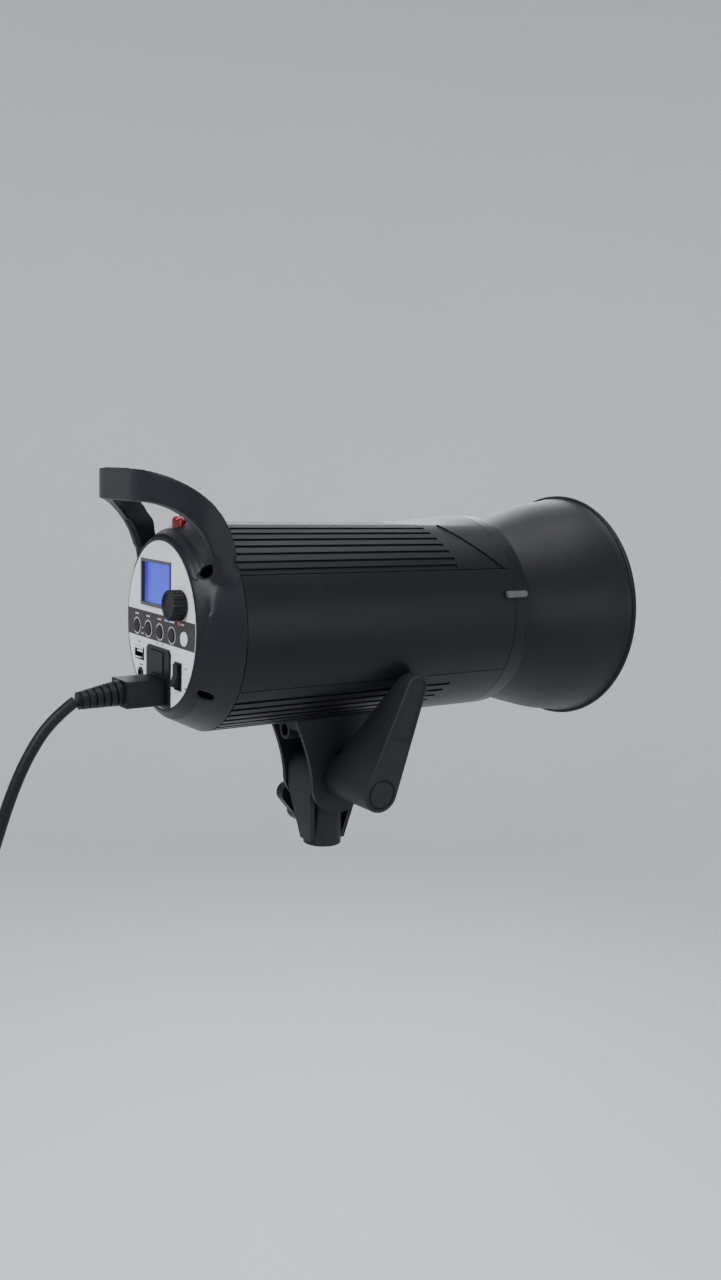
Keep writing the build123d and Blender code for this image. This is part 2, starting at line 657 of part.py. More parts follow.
def dial():
    """Knob with a slim waist and its shaft."""
    face = PANEL_X - BAND_T - 0.5
    knob = rod_x(DIAL_R, face - DIAL_H, face, DIAL_Y, DIAL_Z)
    knob = chamfer(knob.edges().sort_by(Axis.X)[0], 0.8)
    return knob + rod_x(3.0, face, WALL_IN + 2.0, DIAL_Y, DIAL_Z)


def encoder():
    return beam_block((WALL_IN + 2.3, WALL_IN + 4.0), (DIAL_Y - 6, DIAL_Y + 6), (DIAL_Z - 6, DIAL_Z + 6))


def usb_socket():
    x = (PANEL_X - 0.5, PANEL_X + 15.0)
    shell = beam_block((x[0], PANEL_X), USB_Y, USB_Z)
    shell += beam_block((PANEL_X, x[1]), (USB_Y[0] + 0.7, USB_Y[1] - 0.7), (USB_Z[0] + 0.7, USB_Z[1] - 0.7))
    y = (USB_Y[0] + 1.6, USB_Y[1] - 1.6)
    z = (USB_Z[0] + 1.7, USB_Z[1] - 1.7)
    shell -= beam_block((x[0] - 1, x[1] - 2), y, z)
    tongue = beam_block((x[0] + 1.0, x[1]), (y[0] + 1.2, y[1] - 1.2), (z[1] - 2.4, z[1] - 0.8))
    return shell + tongue


def sync_jack():
    jack = rod_x(JACK_R, PANEL_X - 0.9, PANEL_X + 14, JACK_Y, JACK_Z)
    return jack - rod_x(JACK_BORE_R, PANEL_X - 2, PANEL_X + 11, JACK_Y, JACK_Z)


def inlet():
    """Mains inlet with a fuse drawer over the plug recess."""
    flange_x = (PANEL_X - INLET_PROUD, PANEL_X)
    body = beam_block(flange_x, INLET_Y, INLET_Z)
    body = chamfer(body.edges().filter_by(Axis.X), 2.4)
    deep = PANEL_X + INLET_DEPTH
    body += beam_block((PANEL_X, deep), (INLET_Y[0] + 2.1, INLET_Y[1] - 2.1), (INLET_Z[0] + 2.1, INLET_Z[1] - 2.1))
    body -= plug_nose(0.3)
    half = DRAWER_W / 2 + 0.3
    mid = sum(INLET_Y) / 2
    body -= beam_block((PANEL_X - 3, PANEL_X - INLET_PROUD + DRAWER_L + 0.5), (mid - half, mid + half),
                       (DRAWER_Z[0] - 0.3, DRAWER_Z[1] + 0.3))
    for pin in pin_places():
        body -= contact(pin, 0.0)
    return body


def plug_nose(grow):
    """Front of the plug, which goes into the inlet's recess."""
    x = (PANEL_X - 3.0, PANEL_X + 14.0 + grow)
    y = (PLUG_Y[0] + 1.0 - grow, PLUG_Y[1] - 1.0 + grow)
    z = (PLUG_Z[0] + 1.2 - grow, PLUG_Z[1] - 1.6 + grow)
    return beam_block(x, y, z)


def pin_places():
    mid_y = sum(PLUG_Y) / 2
    mid_z = sum(PLUG_Z) / 2
    return [(mid_y - 7, mid_z - 2), (mid_y + 7, mid_z - 2), (mid_y, mid_z + 2.5)]


def contact(place, grow):
    y, z = place
    return beam_block((PANEL_X + 1.5, PANEL_X + INLET_DEPTH + 4), (y - 1 - grow, y + 1 + grow),
                      (z - 2 - grow, z + 2 + grow))


def inlet_pins():
    return Compound(children=[contact(place, 0) for place in pin_places()])


def fuse_drawer():
    half = DRAWER_W / 2
    mid = sum(INLET_Y) / 2
    x0 = PANEL_X - INLET_PROUD - 0.6
    return beam_block((x0, x0 + DRAWER_L), (mid - half, mid + half), DRAWER_Z)


def rocker_frame():
    frame = beam_block((PANEL_X - 1.0, PANEL_X), ROCKER_Y, ROCKER_Z)
    frame += beam_block((PANEL_X, PANEL_X + 14), (ROCKER_Y[0] + 0.7, ROCKER_Y[1] - 0.7),
                        (ROCKER_Z[0] + 0.7, ROCKER_Z[1] - 0.7))
    frame -= beam_block((PANEL_X - 2, PANEL_X + 12), (ROCKER_Y[0] + 1.3, ROCKER_Y[1] - 1.3),
                        (ROCKER_Z[0] + 1.2, ROCKER_Z[1] - 1.2))
    return frame - rocker_pivot(ROCKER_PIN_R + RUNNING, ROCKER_Y[1] - ROCKER_Y[0] + 1)


def rocker_pivot(radius, length):
    """Rod on the axis that the rocker turns about."""
    mid_y = sum(ROCKER_Y) / 2
    mid_z = BEAM_Z + sum(ROCKER_Z) / 2
    return rod_y(radius, mid_y - length / 2, mid_y + length / 2, PANEL_X + ROCKER_PIN_X, mid_z)


def power_rocker():
    """Rocker, pressed in at its upper end."""
    mid_y = sum(ROCKER_Y) / 2
    mid_z = BEAM_Z + sum(ROCKER_Z) / 2
    outline = [(4.5, 0.0), (1.0, 7.0), (-4.4, 7.0), (-3.2, 0.0), (-4.4, -7.0), (1.0, -7.0)]
    half = (ROCKER_Y[1] - ROCKER_Y[0]) / 2 - 1.5
    face = Plane.XZ * make_face(Polyline(outline, close=True))
    rocker = Pos(0, half, 0) * extrude(face, amount=2 * half)
    rocker = Pos(PANEL_X + ROCKER_PIN_X, mid_y, mid_z) * Rot(0, ROCKER_TILT, 0) * rocker
    return rocker + rocker_pivot(ROCKER_PIN_R, 2 * half + 1.4)


# ---------------------------------------------------------------- tilt bracket
def bracket_screw_places():
    return [(x, y) for x in (-24.0, 24.0) for y in (-11.0, 11.0)]


def umbrella_z():
    return BEAM_Z - BODY_R - UMBRELLA_DROP


def tilt_bracket():
    """Yoke under the housing: two cheeks, a web and a tube for an umbrella shaft."""
    top_z = BEAM_Z - BODY_R + 8
    side = [(36.5, TILT_Z + BRACKET_GAP + 4.0), (29.0, TILT_Z + 26.0), (24.4, TILT_Z + 12.0),
            (CHEEK_R, TILT_Z - 4.0)]
    left = [(-x, z) for x, z in side]
    edges = [
        Line((-36.5, top_z), (36.5, top_z)), Line((36.5, top_z), side[0]),
        Spline(side), ThreePointArc(side[-1], (0, TILT_Z - 4.0 - CHEEK_R), left[-1]),
        Spline(left[::-1]), Line(left[0], (-36.5, top_z)),
    ]
    cheek = side_plate(edges, CHEEK_Y - CHEEK_T, CHEEK_Y)
    cheek += rod_y(HUB_BOSS_R, CHEEK_Y - 1, CHEEK_Y + HUB_BOSS_T, 0, TILT_Z)
    web_z = TILT_Z + BRACKET_GAP - WEB_T
    bracket = mirrored(cheek) + block((-33, 33), (-CHEEK_Y, CHEEK_Y), (web_z, top_z))
    tube = rod_x(UMBRELLA_R + 2.4, -33, 33, 0, umbrella_z() - BEAM_Z)
    bracket += tube + block((-33, 33), (-4.0, 4.0), (umbrella_z(), web_z + 1))
    bracket -= rod_x(UMBRELLA_R, -40, 40, 0, umbrella_z() - BEAM_Z)
    bracket -= rod_x(BODY_R + 0.05, -60, 60)
    bracket -= rod_y(BOLT_R + RUNNING, -CHEEK_Y - 3, CHEEK_Y + 3, 0, TILT_Z)
    for x, y in bracket_screw_places():
        bracket -= rod_z(2.6, web_z - 1, top_z + 1, x, y)
    return bracket


def bracket_screws():
    web_z = TILT_Z + BRACKET_GAP - WEB_T
    screws = []
    for x, y in bracket_screw_places():
        shank = rod_z(2.5, web_z - 0.1, web_z + 16, x, y)
        screws.append(shank + rod_z(4.2, web_z - 2.6, web_z - 0.05, x, y))
    return Compound(children=screws)


def pivot_bolt():
    shank = rod_y(BOLT_R, -46.0, CHEEK_Y + HUB_BOSS_T + 0.3, 0, TILT_Z)
    head = rod_y(9.0, CHEEK_Y + HUB_BOSS_T + 0.1, CHEEK_Y + HUB_BOSS_T + 4.0, 0, TILT_Z)
    return shank + fillet(head.edges().sort_by(Axis.Y)[-1], 1.6)


def friction_discs():
    gap = (CHEEK_Y - CHEEK_T) - BARREL_Y
    discs = []
    for side in (-1, 1):
        low, high = sorted((side * (BARREL_Y + 0.15), side * (BARREL_Y + gap - 0.05)))
        ring = rod_y(BARREL_R - 3, low, high, 0, TILT_Z)
        discs.append(ring - rod_y(BOLT_R + RUNNING, low - 1, high + 1, 0, TILT_Z))
    return Compound(children=discs)


# ---------------------------------------------------------------- stand receiver
def stand_receiver():
    """Socket for the stand's spigot, with two fins and the barrel of the tilt joint."""
    barrel = rod_y(BARREL_R, -BARREL_Y, BARREL_Y, 0, TILT_Z)
    foot_x, foot_y = FIN_FOOT
    knee_z = TILT_Z - 14
    length = [(-BARREL_R, TILT_Z), (-BARREL_R, knee_z), (-foot_x, 3), (foot_x, 3),
              (BARREL_R, knee_z), (BARREL_R, TILT_Z)]
    middle_x = foot_x - FIN_T
    inner_x = BARREL_R - FIN_T
    hollow = [(-inner_x, TILT_Z + 1), (-inner_x, knee_z), (-middle_x, 2), (middle_x, 2),
              (inner_x, knee_z), (inner_x, TILT_Z + 1)]
    fins = side_plate([Polyline(length, close=True)], -BARREL_Y, BARREL_Y)
    fins -= side_plate([Polyline(hollow, close=True)], -BARREL_Y - 1, BARREL_Y + 1)
    width = [(-BARREL_Y, TILT_Z), (-BARREL_Y + 2, knee_z), (-foot_y, 2), (foot_y, 2),
             (BARREL_Y - 2, knee_z), (BARREL_Y, TILT_Z)]
    trim = Plane.YZ.offset(-30) * make_face(Polyline(width, close=True))
    fins &= extrude(trim, amount=60)
    rib = side_plate([Polyline(length, close=True)], -2.2, 2.2)
    tube = rod_z(SOCKET_R + SOCKET_WALL, 0, TILT_Z)
    boss = rod_y(7.0, 8.0, KNOB_Y[0] - 1.0, 0, KNOB_Z)
    solid = barrel + fins + rib + tube + boss
    solid -= rod_z(SOCKET_R, -1, SOCKET_DEPTH)
    solid -= rod_y(BOLT_R + RUNNING, -BARREL_Y - 1, BARREL_Y + 1, 0, TILT_Z)
    return solid - rod_y(STUD_R + RUNNING, 0, KNOB_Y[0] + 1, 0, KNOB_Z)


def knob_stud():
    return rod_y(STUD_R, SOCKET_R + 0.6, KNOB_Y[1] - 5.0, 0, KNOB_Z)


def stand_knob():
    """Winged knob that clamps the spigot."""
    y0, y1 = KNOB_Y
    hub = rod_y(KNOB_HUB_R, y0, y1, 0, 0)
    wing = block((-WING_L, WING_L), (y0 + 3.0, y1 - 2.0), (-WING_W / 2, WING_W / 2))
    wing = fillet(wing.edges().filter_by(Axis.Y), WING_W / 2 - 0.2)
    knob = Pos(0, 0, KNOB_Z) * Rot(0, -WING_ANGLE, 0) * (hub + wing)
    return knob - rod_y(STUD_R + 0.02, y0 - 1, y1 - 4.9, 0, KNOB_Z)


# ---------------------------------------------------------------- tilt lever
def lever_inner_y():
    """Inner face of the lever's tip, clear of the housing all the way round."""
    rise = BODY_R + BRACKET_GAP - LEVER_L
    return -math.sqrt(BODY_R ** 2 - max(rise, 0.0) ** 2) - LEVER_CLEAR


def tilt_lever():
    """Paddle that stands out past the housing, on a long hub."""
    hub_y = -CHEEK_Y - HUB_BOSS_T - 0.3
    outer_base = LEVER_Y[0] - RAISE
    outer_tip = LEVER_Y[1] - RAISE
    tip_s = LEVER_L - LEVER_TIP_R
    lean = (LEVER_BASE_R - LEVER_TIP_R) / tip_s
    across = math.sqrt(1 - lean ** 2)
    sides = [(-LEVER_BASE_R * across, LEVER_BASE_R * lean), (LEVER_BASE_R * across, LEVER_BASE_R * lean),
             (LEVER_TIP_R * across, tip_s + LEVER_TIP_R * lean),
             (-LEVER_TIP_R * across, tip_s + LEVER_TIP_R * lean)]
    edges = [
        ThreePointArc(sides[0], (0, -LEVER_BASE_R), sides[1]), Line(sides[1], sides[2]),
        ThreePointArc(sides[2], (0, LEVER_L), sides[3]), Line(sides[3], sides[0]),
    ]
    paddle = side_plate(edges, outer_tip - 2, hub_y)
    low = -LEVER_BASE_R - 1
    profile = [(hub_y, low), (hub_y, LEVER_BASE_R + 1), (hub_y - 7.0, LEVER_BASE_R + 3),
               (lever_inner_y(), LEVER_L + 1), (outer_tip, LEVER_L + 1), (outer_base, low)]
    trim = Plane.YZ.offset(-30) * make_face(Polyline(profile, close=True))
    lever = paddle & extrude(trim, amount=60)
    rim = lever.edges().filter_by(lambda e: e.center().Y < outer_base + 2.5)
    lever = fillet(rim, 1.6)
    lower_w = LEVER_BASE_R - (LEVER_BASE_R - LEVER_TIP_R) * RECESS_S / tip_s - RECESS_RIM
    upper_w = LEVER_TIP_R - RECESS_RIM
    outline = [Line((-lower_w, RECESS_S), (lower_w, RECESS_S)), Line((lower_w, RECESS_S), (upper_w, tip_s)),
               ThreePointArc((upper_w, tip_s), (0, tip_s + upper_w), (-upper_w, tip_s)),
               Line((-upper_w, tip_s), (-lower_w, RECESS_S))]
    recess = side_plate(outline, outer_tip - 2, outer_base + 4)
    ring = rod_y(HUB_RING_R[1], outer_tip, outer_base + 4, 0, 0)
    recess += ring - rod_y(HUB_RING_R[0], outer_tip - 1, outer_base + 5, 0, 0)
    floor = [(outer_base + 6, low), (outer_base + 6, LEVER_L + 1),
             (outer_tip + RECESS_DEPTH, LEVER_L + 1), (outer_base + RECESS_DEPTH, low)]
    kept = extrude(Plane.YZ.offset(-30) * make_face(Polyline(floor, close=True)), amount=60)
    lever -= recess - kept
    lever = Pos(0, 0, TILT_Z) * Rot(0, LEVER_ANGLE, 0) * lever
    lever -= rod_y(BOLT_R + RUNNING, -47.0, hub_y + 1, 0, TILT_Z)
    return lever - hex_nut(0.03)


def hex_nut(grow):
    """Steel nut moulded into the lever."""
    y0 = -44.0
    plane = Plane((0, y0 - grow, TILT_Z), x_dir=(1, 0, 0), z_dir=(0, 1, 0))
    nut = extrude(plane * RegularPolygon(NUT_R + grow, 6), amount=NUT_H + 2 * grow)
    return nut


def lever_nut():
    return hex_nut(0.0) - rod_y(BOLT_R + RUNNING, -60, 0, 0, TILT_Z)


# ---------------------------------------------------------------- mains lead
def plug_mid():
    return (PANEL_X - INLET_PROUD - 0.3, sum(PLUG_Y) / 2, BEAM_Z + sum(PLUG_Z) / 2)


def cord_plug():
    """Connector on the lead, with its nose in the inlet."""
    x1 = plug_mid()[0]
    grip = beam_block((x1 - PLUG_L, x1), PLUG_Y, PLUG_Z)
    grip = fillet(grip.edges().filter_by(Axis.X), 1.6)
    plug = grip + plug_nose(0.0)
    for place in pin_places():
        plug -= contact(place, 0.05)
    return plug


def relief_frame():
    x, y, z = plug_mid()
    return Pos(x - PLUG_L, y, z) * Rot(0, -90 - RELIEF_TILT, 0)


def strain_relief():
    """Tapered, ringed sleeve behind the plug."""
    sleeve = relief_frame() * Pos(0, 0, RELIEF_L / 2) * Cone(RELIEF_R[0], RELIEF_R[1], RELIEF_L)
    x = plug_mid()[0] - PLUG_L
    return sleeve & block((x - 60, x), (-30, 30), (BEAM_Z - 90, BEAM_Z))


def relief_end():
    """Where the lead leaves its sleeve; its first run dips, so it starts a little way out."""
    return (relief_frame() * Pos(0, 0, RELIEF_L + 1.8)).position


# Free run of the lead, from the strain relief down to the coil, chosen by hand
CORD_ROUTE = [
    (-196.5, 0.3, 107.5), (-211.5, 0.5, 86.5), (-223.0, 1.0, 60.5), (-232.5, 2.0, 30.0),
    (-243.2, 4.2, -4.0), (-255.6, 7.2, -36.6),
]
COIL_CENTRE = (-260.0, 8.0, -87.0)
# Short end that hangs straight down beside the coil to its plug
TAIL_ROUTE = [(-269.1, -32.2, -89.0), (-269.1, -32.2, -108.0), (-269.1, -32.2, -127.5)]


def smooth_wire(points):
    """Straight runs joined by arcs as large as the runs allow."""
    route = [Vector(*p) for p in points]
    if (route[1] - route[0]).get_angle(route[-1] - route[0]) < 0.01:
        return Line(route[0], route[-1])
    radii = []
    for a, b, c in zip(route, route[1:], route[2:]):
        turn = (b - a).get_angle(c - b)
        shorter = min((b - a).length, (c - b).length)
        radii.append(0.45 * shorter / math.tan(math.radians(turn / 2)))
    print("cord arc radii", [round(r, 1) for r in radii])
    return FilletPolyline(route, radius=radii)


def cord_tube(points):
    path = smooth_wire(points)
    section = Plane(path @ 0, z_dir=path % 0) * Circle(CORD_R)
    tube = sweep(section, path=path)
    print("cord tube", round(tube.volume), "section times length",
          round(math.pi * CORD_R ** 2 * path.length))
    return tube


def cord():
    return cord_tube([tuple(relief_end())] + CORD_ROUTE)


def coil_section(grow):
    """Cross-section of the tied turns, beside the coil's axis."""
    return Pos(COIL_R, 0) * RectangleRounded(COIL_H + 2 * grow, COIL_W + 2 * grow, 4.0 + grow)


def place_coil(part):
    return Pos(*COIL_CENTRE) * Rot(0, 0, COIL_TURN) * part


def cord_coil():
    ring = revolve(Plane.XY * coil_section(0), Axis.Y)
    return place_coil(ring)


def coil_tie():
    band = Plane.XY * (coil_section(TIE_T) - coil_section(0.02))
    band = Rot(0, -TIE_UP - TIE_ANGLE / 2, 0) * revolve(band, Axis.Y, TIE_ANGLE)
    return place_coil(band)


def cord_tail():
    return cord_tube(TAIL_ROUTE)


def mains_plug():
    """Moulded plug with two round pins, hanging beside the coil."""
    x, y, z = TAIL_ROUTE[-1]
    z -= 0.5
    body = Pos(0, 0, -13) * Box(17.0, 13.0, 26.0)
    body = fillet(body.edges().filter_by(Axis.Z), 5.0)
    for side in (-1, 1):
        body += Pos(side * 4.6, 0, -26 - 6) * Cylinder(2.2, 14)
    return Pos(x, y, z) * Rot(0, 0, COIL_TURN) * body


# ---------------------------------------------------------------- write every node
NODES = {
    "top_cover": top_cover,
    "bottom_cover": bottom_cover,
    "side_panel_left": lambda: side_panel(1),
    "side_panel_right": lambda: side_panel(-1),
    "front_collar": front_collar,
    "bayonet_ring": bayonet_ring,
    "release_slider": release_slider,
    "lock_pin": lock_pin,
    "reflector": reflector,
    "reflector_bayonet": reflector_bayonet,
    "lamp_plate": lamp_plate,
    "flash_tube": flash_tube,
    "lamp_socket": lamp_socket,
    "modelling_lamp": modelling_lamp,
    "chassis": chassis,
    "main_capacitors": main_capacitors,
    "power_board": power_board,
    "transformer": transformer,
    "control_board": control_board,
    "fan_frame": fan_frame,
    "fan_rotor": fan_rotor,
    "rear_cover": rear_cover,
    "rear_screws": rear_screws,
    "handle": handle,
    "sensor_dome": sensor_dome,
    "control_panel": control_panel,
    "button_band": button_band,
    "lcd_bezel": lcd_bezel,
    "lcd_window": lcd_window,
    "dial": dial,
    "encoder": encoder,
    "usb_socket": usb_socket,
    "sync_jack": sync_jack,
    "inlet": inlet,
    "inlet_pins": inlet_pins,
    "fuse_drawer": fuse_drawer,
    "rocker_frame": rocker_frame,
    "power_rocker": power_rocker,
    "tilt_bracket": tilt_bracket,
    "bracket_screws": bracket_screws,
    "pivot_bolt": pivot_bolt,
    "friction_discs": friction_discs,
    "stand_receiver": stand_receiver,
    "knob_stud": knob_stud,
    "stand_knob": stand_knob,
    "tilt_lever": tilt_lever,
    "lever_nut": lever_nut,
    "cord_plug": cord_plug,
    "strain_relief": strain_relief,
    "cord": cord,
    "cord_coil": cord_coil,
    "coil_tie": coil_tie,
    "cord_tail": cord_tail,
    "mains_plug": mains_plug,
}
for number, button_y in enumerate(BUTTON_YS, start=1):
    NODES[f"button_{number}"] = lambda y=button_y: button(y)

for name, build in NODES.items():
    export_step(build(), f"parts/{name}.step")
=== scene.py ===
# %% [markdown]
# # A studio flash head, finished for the camera
#
# The flash head already exists as an exact frame: every part has its size, its place and the body that it
# turns or slides with. This lesson gives that frame its looks. Sharp CAD edges become moulded edges, plain
# solids become knurled, ringed and painted pieces, and each finish is built from procedural nodes.
#
# Everything is in metres. X runs along the light beam, Y to the operator's left and Z up.

import json
import math

import bmesh
import bpy
from mathutils import Matrix, Vector


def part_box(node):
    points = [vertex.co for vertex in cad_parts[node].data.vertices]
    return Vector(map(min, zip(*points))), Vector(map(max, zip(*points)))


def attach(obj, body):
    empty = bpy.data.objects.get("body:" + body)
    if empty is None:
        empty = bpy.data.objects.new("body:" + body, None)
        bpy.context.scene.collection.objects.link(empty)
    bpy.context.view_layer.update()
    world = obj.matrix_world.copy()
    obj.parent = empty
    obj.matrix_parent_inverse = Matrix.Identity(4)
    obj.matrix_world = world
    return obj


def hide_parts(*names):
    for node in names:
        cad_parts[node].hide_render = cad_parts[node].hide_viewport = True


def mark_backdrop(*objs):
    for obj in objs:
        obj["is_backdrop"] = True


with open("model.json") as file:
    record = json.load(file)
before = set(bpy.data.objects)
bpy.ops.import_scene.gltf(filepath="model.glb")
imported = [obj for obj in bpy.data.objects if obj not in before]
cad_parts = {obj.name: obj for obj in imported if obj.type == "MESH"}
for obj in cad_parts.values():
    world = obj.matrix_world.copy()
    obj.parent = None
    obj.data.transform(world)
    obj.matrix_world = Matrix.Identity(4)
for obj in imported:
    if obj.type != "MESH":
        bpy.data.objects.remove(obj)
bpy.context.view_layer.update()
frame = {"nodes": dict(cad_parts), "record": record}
MM = 0.001

# %% [markdown]
# ## Places that the finishes need
#
# A finish often has to know where a part is: printing sits on the control panel, and a brushed grain runs
# round the beam. These places are read from the frame, so they follow it if a size changes there.

# %% Read places from the frame
collar_low, collar_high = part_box("front_collar")
panel_low, panel_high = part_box("control_panel")
BEAM_Z = (collar_low.z + collar_high.z) / 2
BODY_R = (collar_high.z - collar_low.z) / 2
PANEL_FACE = panel_low.x
REAR_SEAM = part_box("top_cover")[0].x
print("beam height", round(BEAM_Z, 4), "housing radius", round(BODY_R, 4))


# %% [markdown]
# ## Arithmetic on shader sockets
#
# Shader maths is easier to read as a sum than as a chain of Math nodes. A `Wire` wraps one socket, and
# Python's operators on it add the Math node that does the same sum, so `1 - mask * 0.5` becomes two nodes.

# %% Wire, a socket that can be used in a sum
class Wire:
    """One output socket of a material, with arithmetic."""

    def __init__(self, finish, socket):
        self.finish = finish
        self.socket = socket

    def sum(self, operation, a, b):
        return self.finish.node("ShaderNodeMath", {"operation": operation}, {0: a, 1: b})

    def __add__(self, other):
        return self.sum("ADD", self, other)

    def __radd__(self, other):
        return self.sum("ADD", other, self)

    def __sub__(self, other):
        return self.sum("SUBTRACT", self, other)

    def __rsub__(self, other):
        return self.sum("SUBTRACT", other, self)

    def __mul__(self, other):
        return self.sum("MULTIPLY", self, other)

    def __rmul__(self, other):
        return self.sum("MULTIPLY", other, self)

    def __truediv__(self, other):
        return self.sum("DIVIDE", self, other)

    def __pow__(self, other):
        return self.sum("POWER", self, other)

    def size(self):
        return self.sum("ABSOLUTE", self, 0.0)

    def under(self, limit, blur):
        """1 where the value is below the limit, 0 above it, with a soft step between."""
        return self.finish.node("ShaderNodeMapRange", {"interpolation_type": "SMOOTHSTEP"}, {
            "Value": self, "From Min": limit - blur, "From Max": limit + blur,
            "To Min": 1.0, "To Max": 0.0})

    def wave(self):
        return self.sum("SINE", self, 0.0)


# %% [markdown]
# ## One method for every other node
#
# All the other nodes are added by `Finish.node`, which takes the node's type, its settings and what its
# sockets get. The settings are made first, because some of them change which sockets there are. What is
# the same all over a surface goes straight on the shader's own socket.

# %% Finish, a material while it is being wired
class Finish:
    """A Principled material and the nodes that feed it."""

    def __init__(self, name):
        self.material = bpy.data.materials.new(name)
        self.material.use_nodes = True
        self.tree = self.material.node_tree
        self.shader = self.tree.nodes["Principled BSDF"]
        self.place = self.node("ShaderNodeTexCoord", out="Object")

    def plug(self, value, socket):
        if isinstance(value, Wire):
            self.tree.links.new(value.socket, socket)
        else:
            socket.default_value = value

    def node(self, kind, settings=None, inputs=None, out=0):
        made = self.tree.nodes.new(kind)
        for name, value in (settings or {}).items():
            setattr(made, name, value)
        for name, value in (inputs or {}).items():
            self.plug(value, made.inputs[name])
        return Wire(self, made.outputs[out])

    def axes(self):
        """The three parts of the place on the object."""
        apart = self.node("ShaderNodeSeparateXYZ", inputs={0: self.place})
        source = apart.socket.node
        return [Wire(self, source.outputs[i]) for i in range(3)]

    def noise(self, length, detail=2.0, stretch=(1, 1, 1)):
        """Noise whose features are about that long, in metres, drawn out along the larger stretches."""
        scaled = self.node("ShaderNodeMapping", inputs={
            "Vector": self.place, "Scale": [1 / (length * s) for s in stretch]})
        return self.node("ShaderNodeTexNoise", inputs={"Vector": scaled, "Scale": 1.0, "Detail": detail})

    def blend(self, mask, a, b):
        return self.node("ShaderNodeMix", {"data_type": "RGBA"}, {0: mask, 6: (*a, 1) if isinstance(a, tuple)
                         else a, 7: (*b, 1) if isinstance(b, tuple) else b}, out=2)

    def bump(self, height, distance, strength=1.0):
        return self.node("ShaderNodeBump", inputs={
            "Height": height, "Distance": distance, "Strength": strength})

    def look(self, **values):
        """Sets the shader's sockets; an underscore in a name stands for a space."""
        for name, value in values.items():
            if isinstance(value, tuple) and len(value) == 3:
                value = (*value, 1)
            self.plug(value, self.shader.inputs[name.replace("_", " ")])
        return self.material


# %% [markdown]
# ## Moulded black plastics
#
# The housing is glass-filled nylon from a spark-eroded mould: nearly black, with a very fine even grain
# that spreads its highlights. One recipe with four numbers makes every black moulding on the head, so
# that the bracket can be coarser and the lead softer than the housing while they stay related. Handling
# leaves slightly smoother patches, which the larger noise gives to the roughness.

# %% Black moulding recipe
def moulded_black(name, tint, rough, grain=0.0004, depth=0.000012, cloud=0.15):
    f = Finish(name)
    patches = f.noise(0.035, 3.0)
    grains = f.noise(grain, 1.0)
    dust = f.noise(0.004, 6.0)
    dark = tuple(c * (1 - cloud) for c in tint)
    light = tuple(c * (1 + cloud) for c in tint)
    return f.look(
        Base_Color=f.blend(patches, dark, light),
        Roughness=rough + (patches - 0.5) * 0.12 + (dust - 0.5) * 0.06,
        Normal=f.bump(grains, depth, 0.6),
        Specular_IOR_Level=0.24)


housing_black = moulded_black("housing_black", (0.0065, 0.0066, 0.0082), 0.42)
collar_black = moulded_black("collar_black", (0.0060, 0.0060, 0.0072), 0.36)
rear_black = moulded_black("rear_black", (0.0115, 0.0120, 0.0160), 0.40)
bracket_black = moulded_black("bracket_black", (0.0150, 0.0155, 0.0185), 0.50, 0.0007, 0.00003)
knob_black = moulded_black("knob_black", (0.0110, 0.0110, 0.0125), 0.46, 0.0006, 0.00002)
socket_black = moulded_black("socket_black", (0.0070, 0.0070, 0.0080), 0.38)
lead_black = moulded_black("lead_black", (0.0080, 0.0080, 0.0088), 0.48, 0.0009, 0.00002)


# %% [markdown]
# ## Metals
#
# Turned aluminium shows fine rings about its axis, and zinc-plated steel a cloudy sheen. The rings are a
# sine of the distance from the beam plus the distance along it, so that no image is needed.

# %% Metal finishes
def turned_metal(name, tint, rough):
    f = Finish(name)
    x, y, z = f.axes()
    up = z - BEAM_Z
    radius = (y * y + up * up) ** 0.5
    rings = (radius * 9000.0 + x * 9000.0).wave()
    clouds = f.noise(0.01, 3.0)
    return f.look(Base_Color=f.blend(clouds, tuple(c * 0.9 for c in tint), tint),
                  Roughness=rough + (clouds - 0.5) * 0.1, Metallic=1.0,
                  Normal=f.bump(rings, 0.000004, 0.5))


def plated_metal(name, tint, rough, cloud=0.008):
    f = Finish(name)
    clouds = f.noise(cloud, 5.0)
    return f.look(Base_Color=f.blend(clouds, tuple(c * 0.85 for c in tint), tint),
                  Roughness=rough + (clouds - 0.5) * 0.18, Metallic=1.0,
                  Normal=f.bump(clouds, 0.00001, 0.3))


bayonet_metal = turned_metal("bayonet_metal", (0.70, 0.70, 0.72), 0.28)
zinc_steel = plated_metal("zinc_steel", (0.62, 0.62, 0.64), 0.32)
folded_sheet = plated_metal("folded_sheet", (0.66, 0.67, 0.68), 0.38, 0.02)
screw_steel = plated_metal("screw_steel", (0.34, 0.34, 0.36), 0.36)
contact_metal = plated_metal("contact_metal", (0.80, 0.76, 0.62), 0.22)


# %% [markdown]
# ## Grey catch, coloured glass and the sealed inner parts
#
# The catch on the collar is dark metallised plastic, the sensor's dome is deep red plastic with a faint
# painted glow that stands in for light caught inside it, and the lamp parts are glass. Inner parts are seen
# only through gaps, so each gets one plain recipe with the grain of its own material.

# %% Small finishes
def gloss_plastic(name, tint, rough, cloud=0.006, through=0.0, coat=0.4):
    f = Finish(name)
    clouds = f.noise(cloud, 2.0)
    f.look(Coat_Weight=coat, Coat_Roughness=0.12, Transmission_Weight=through)
    return f.look(Base_Color=f.blend(clouds, tuple(c * 0.9 for c in tint), tint),
                  Roughness=rough + (clouds - 0.5) * 0.08, Normal=f.bump(clouds, 0.00001, 0.2))


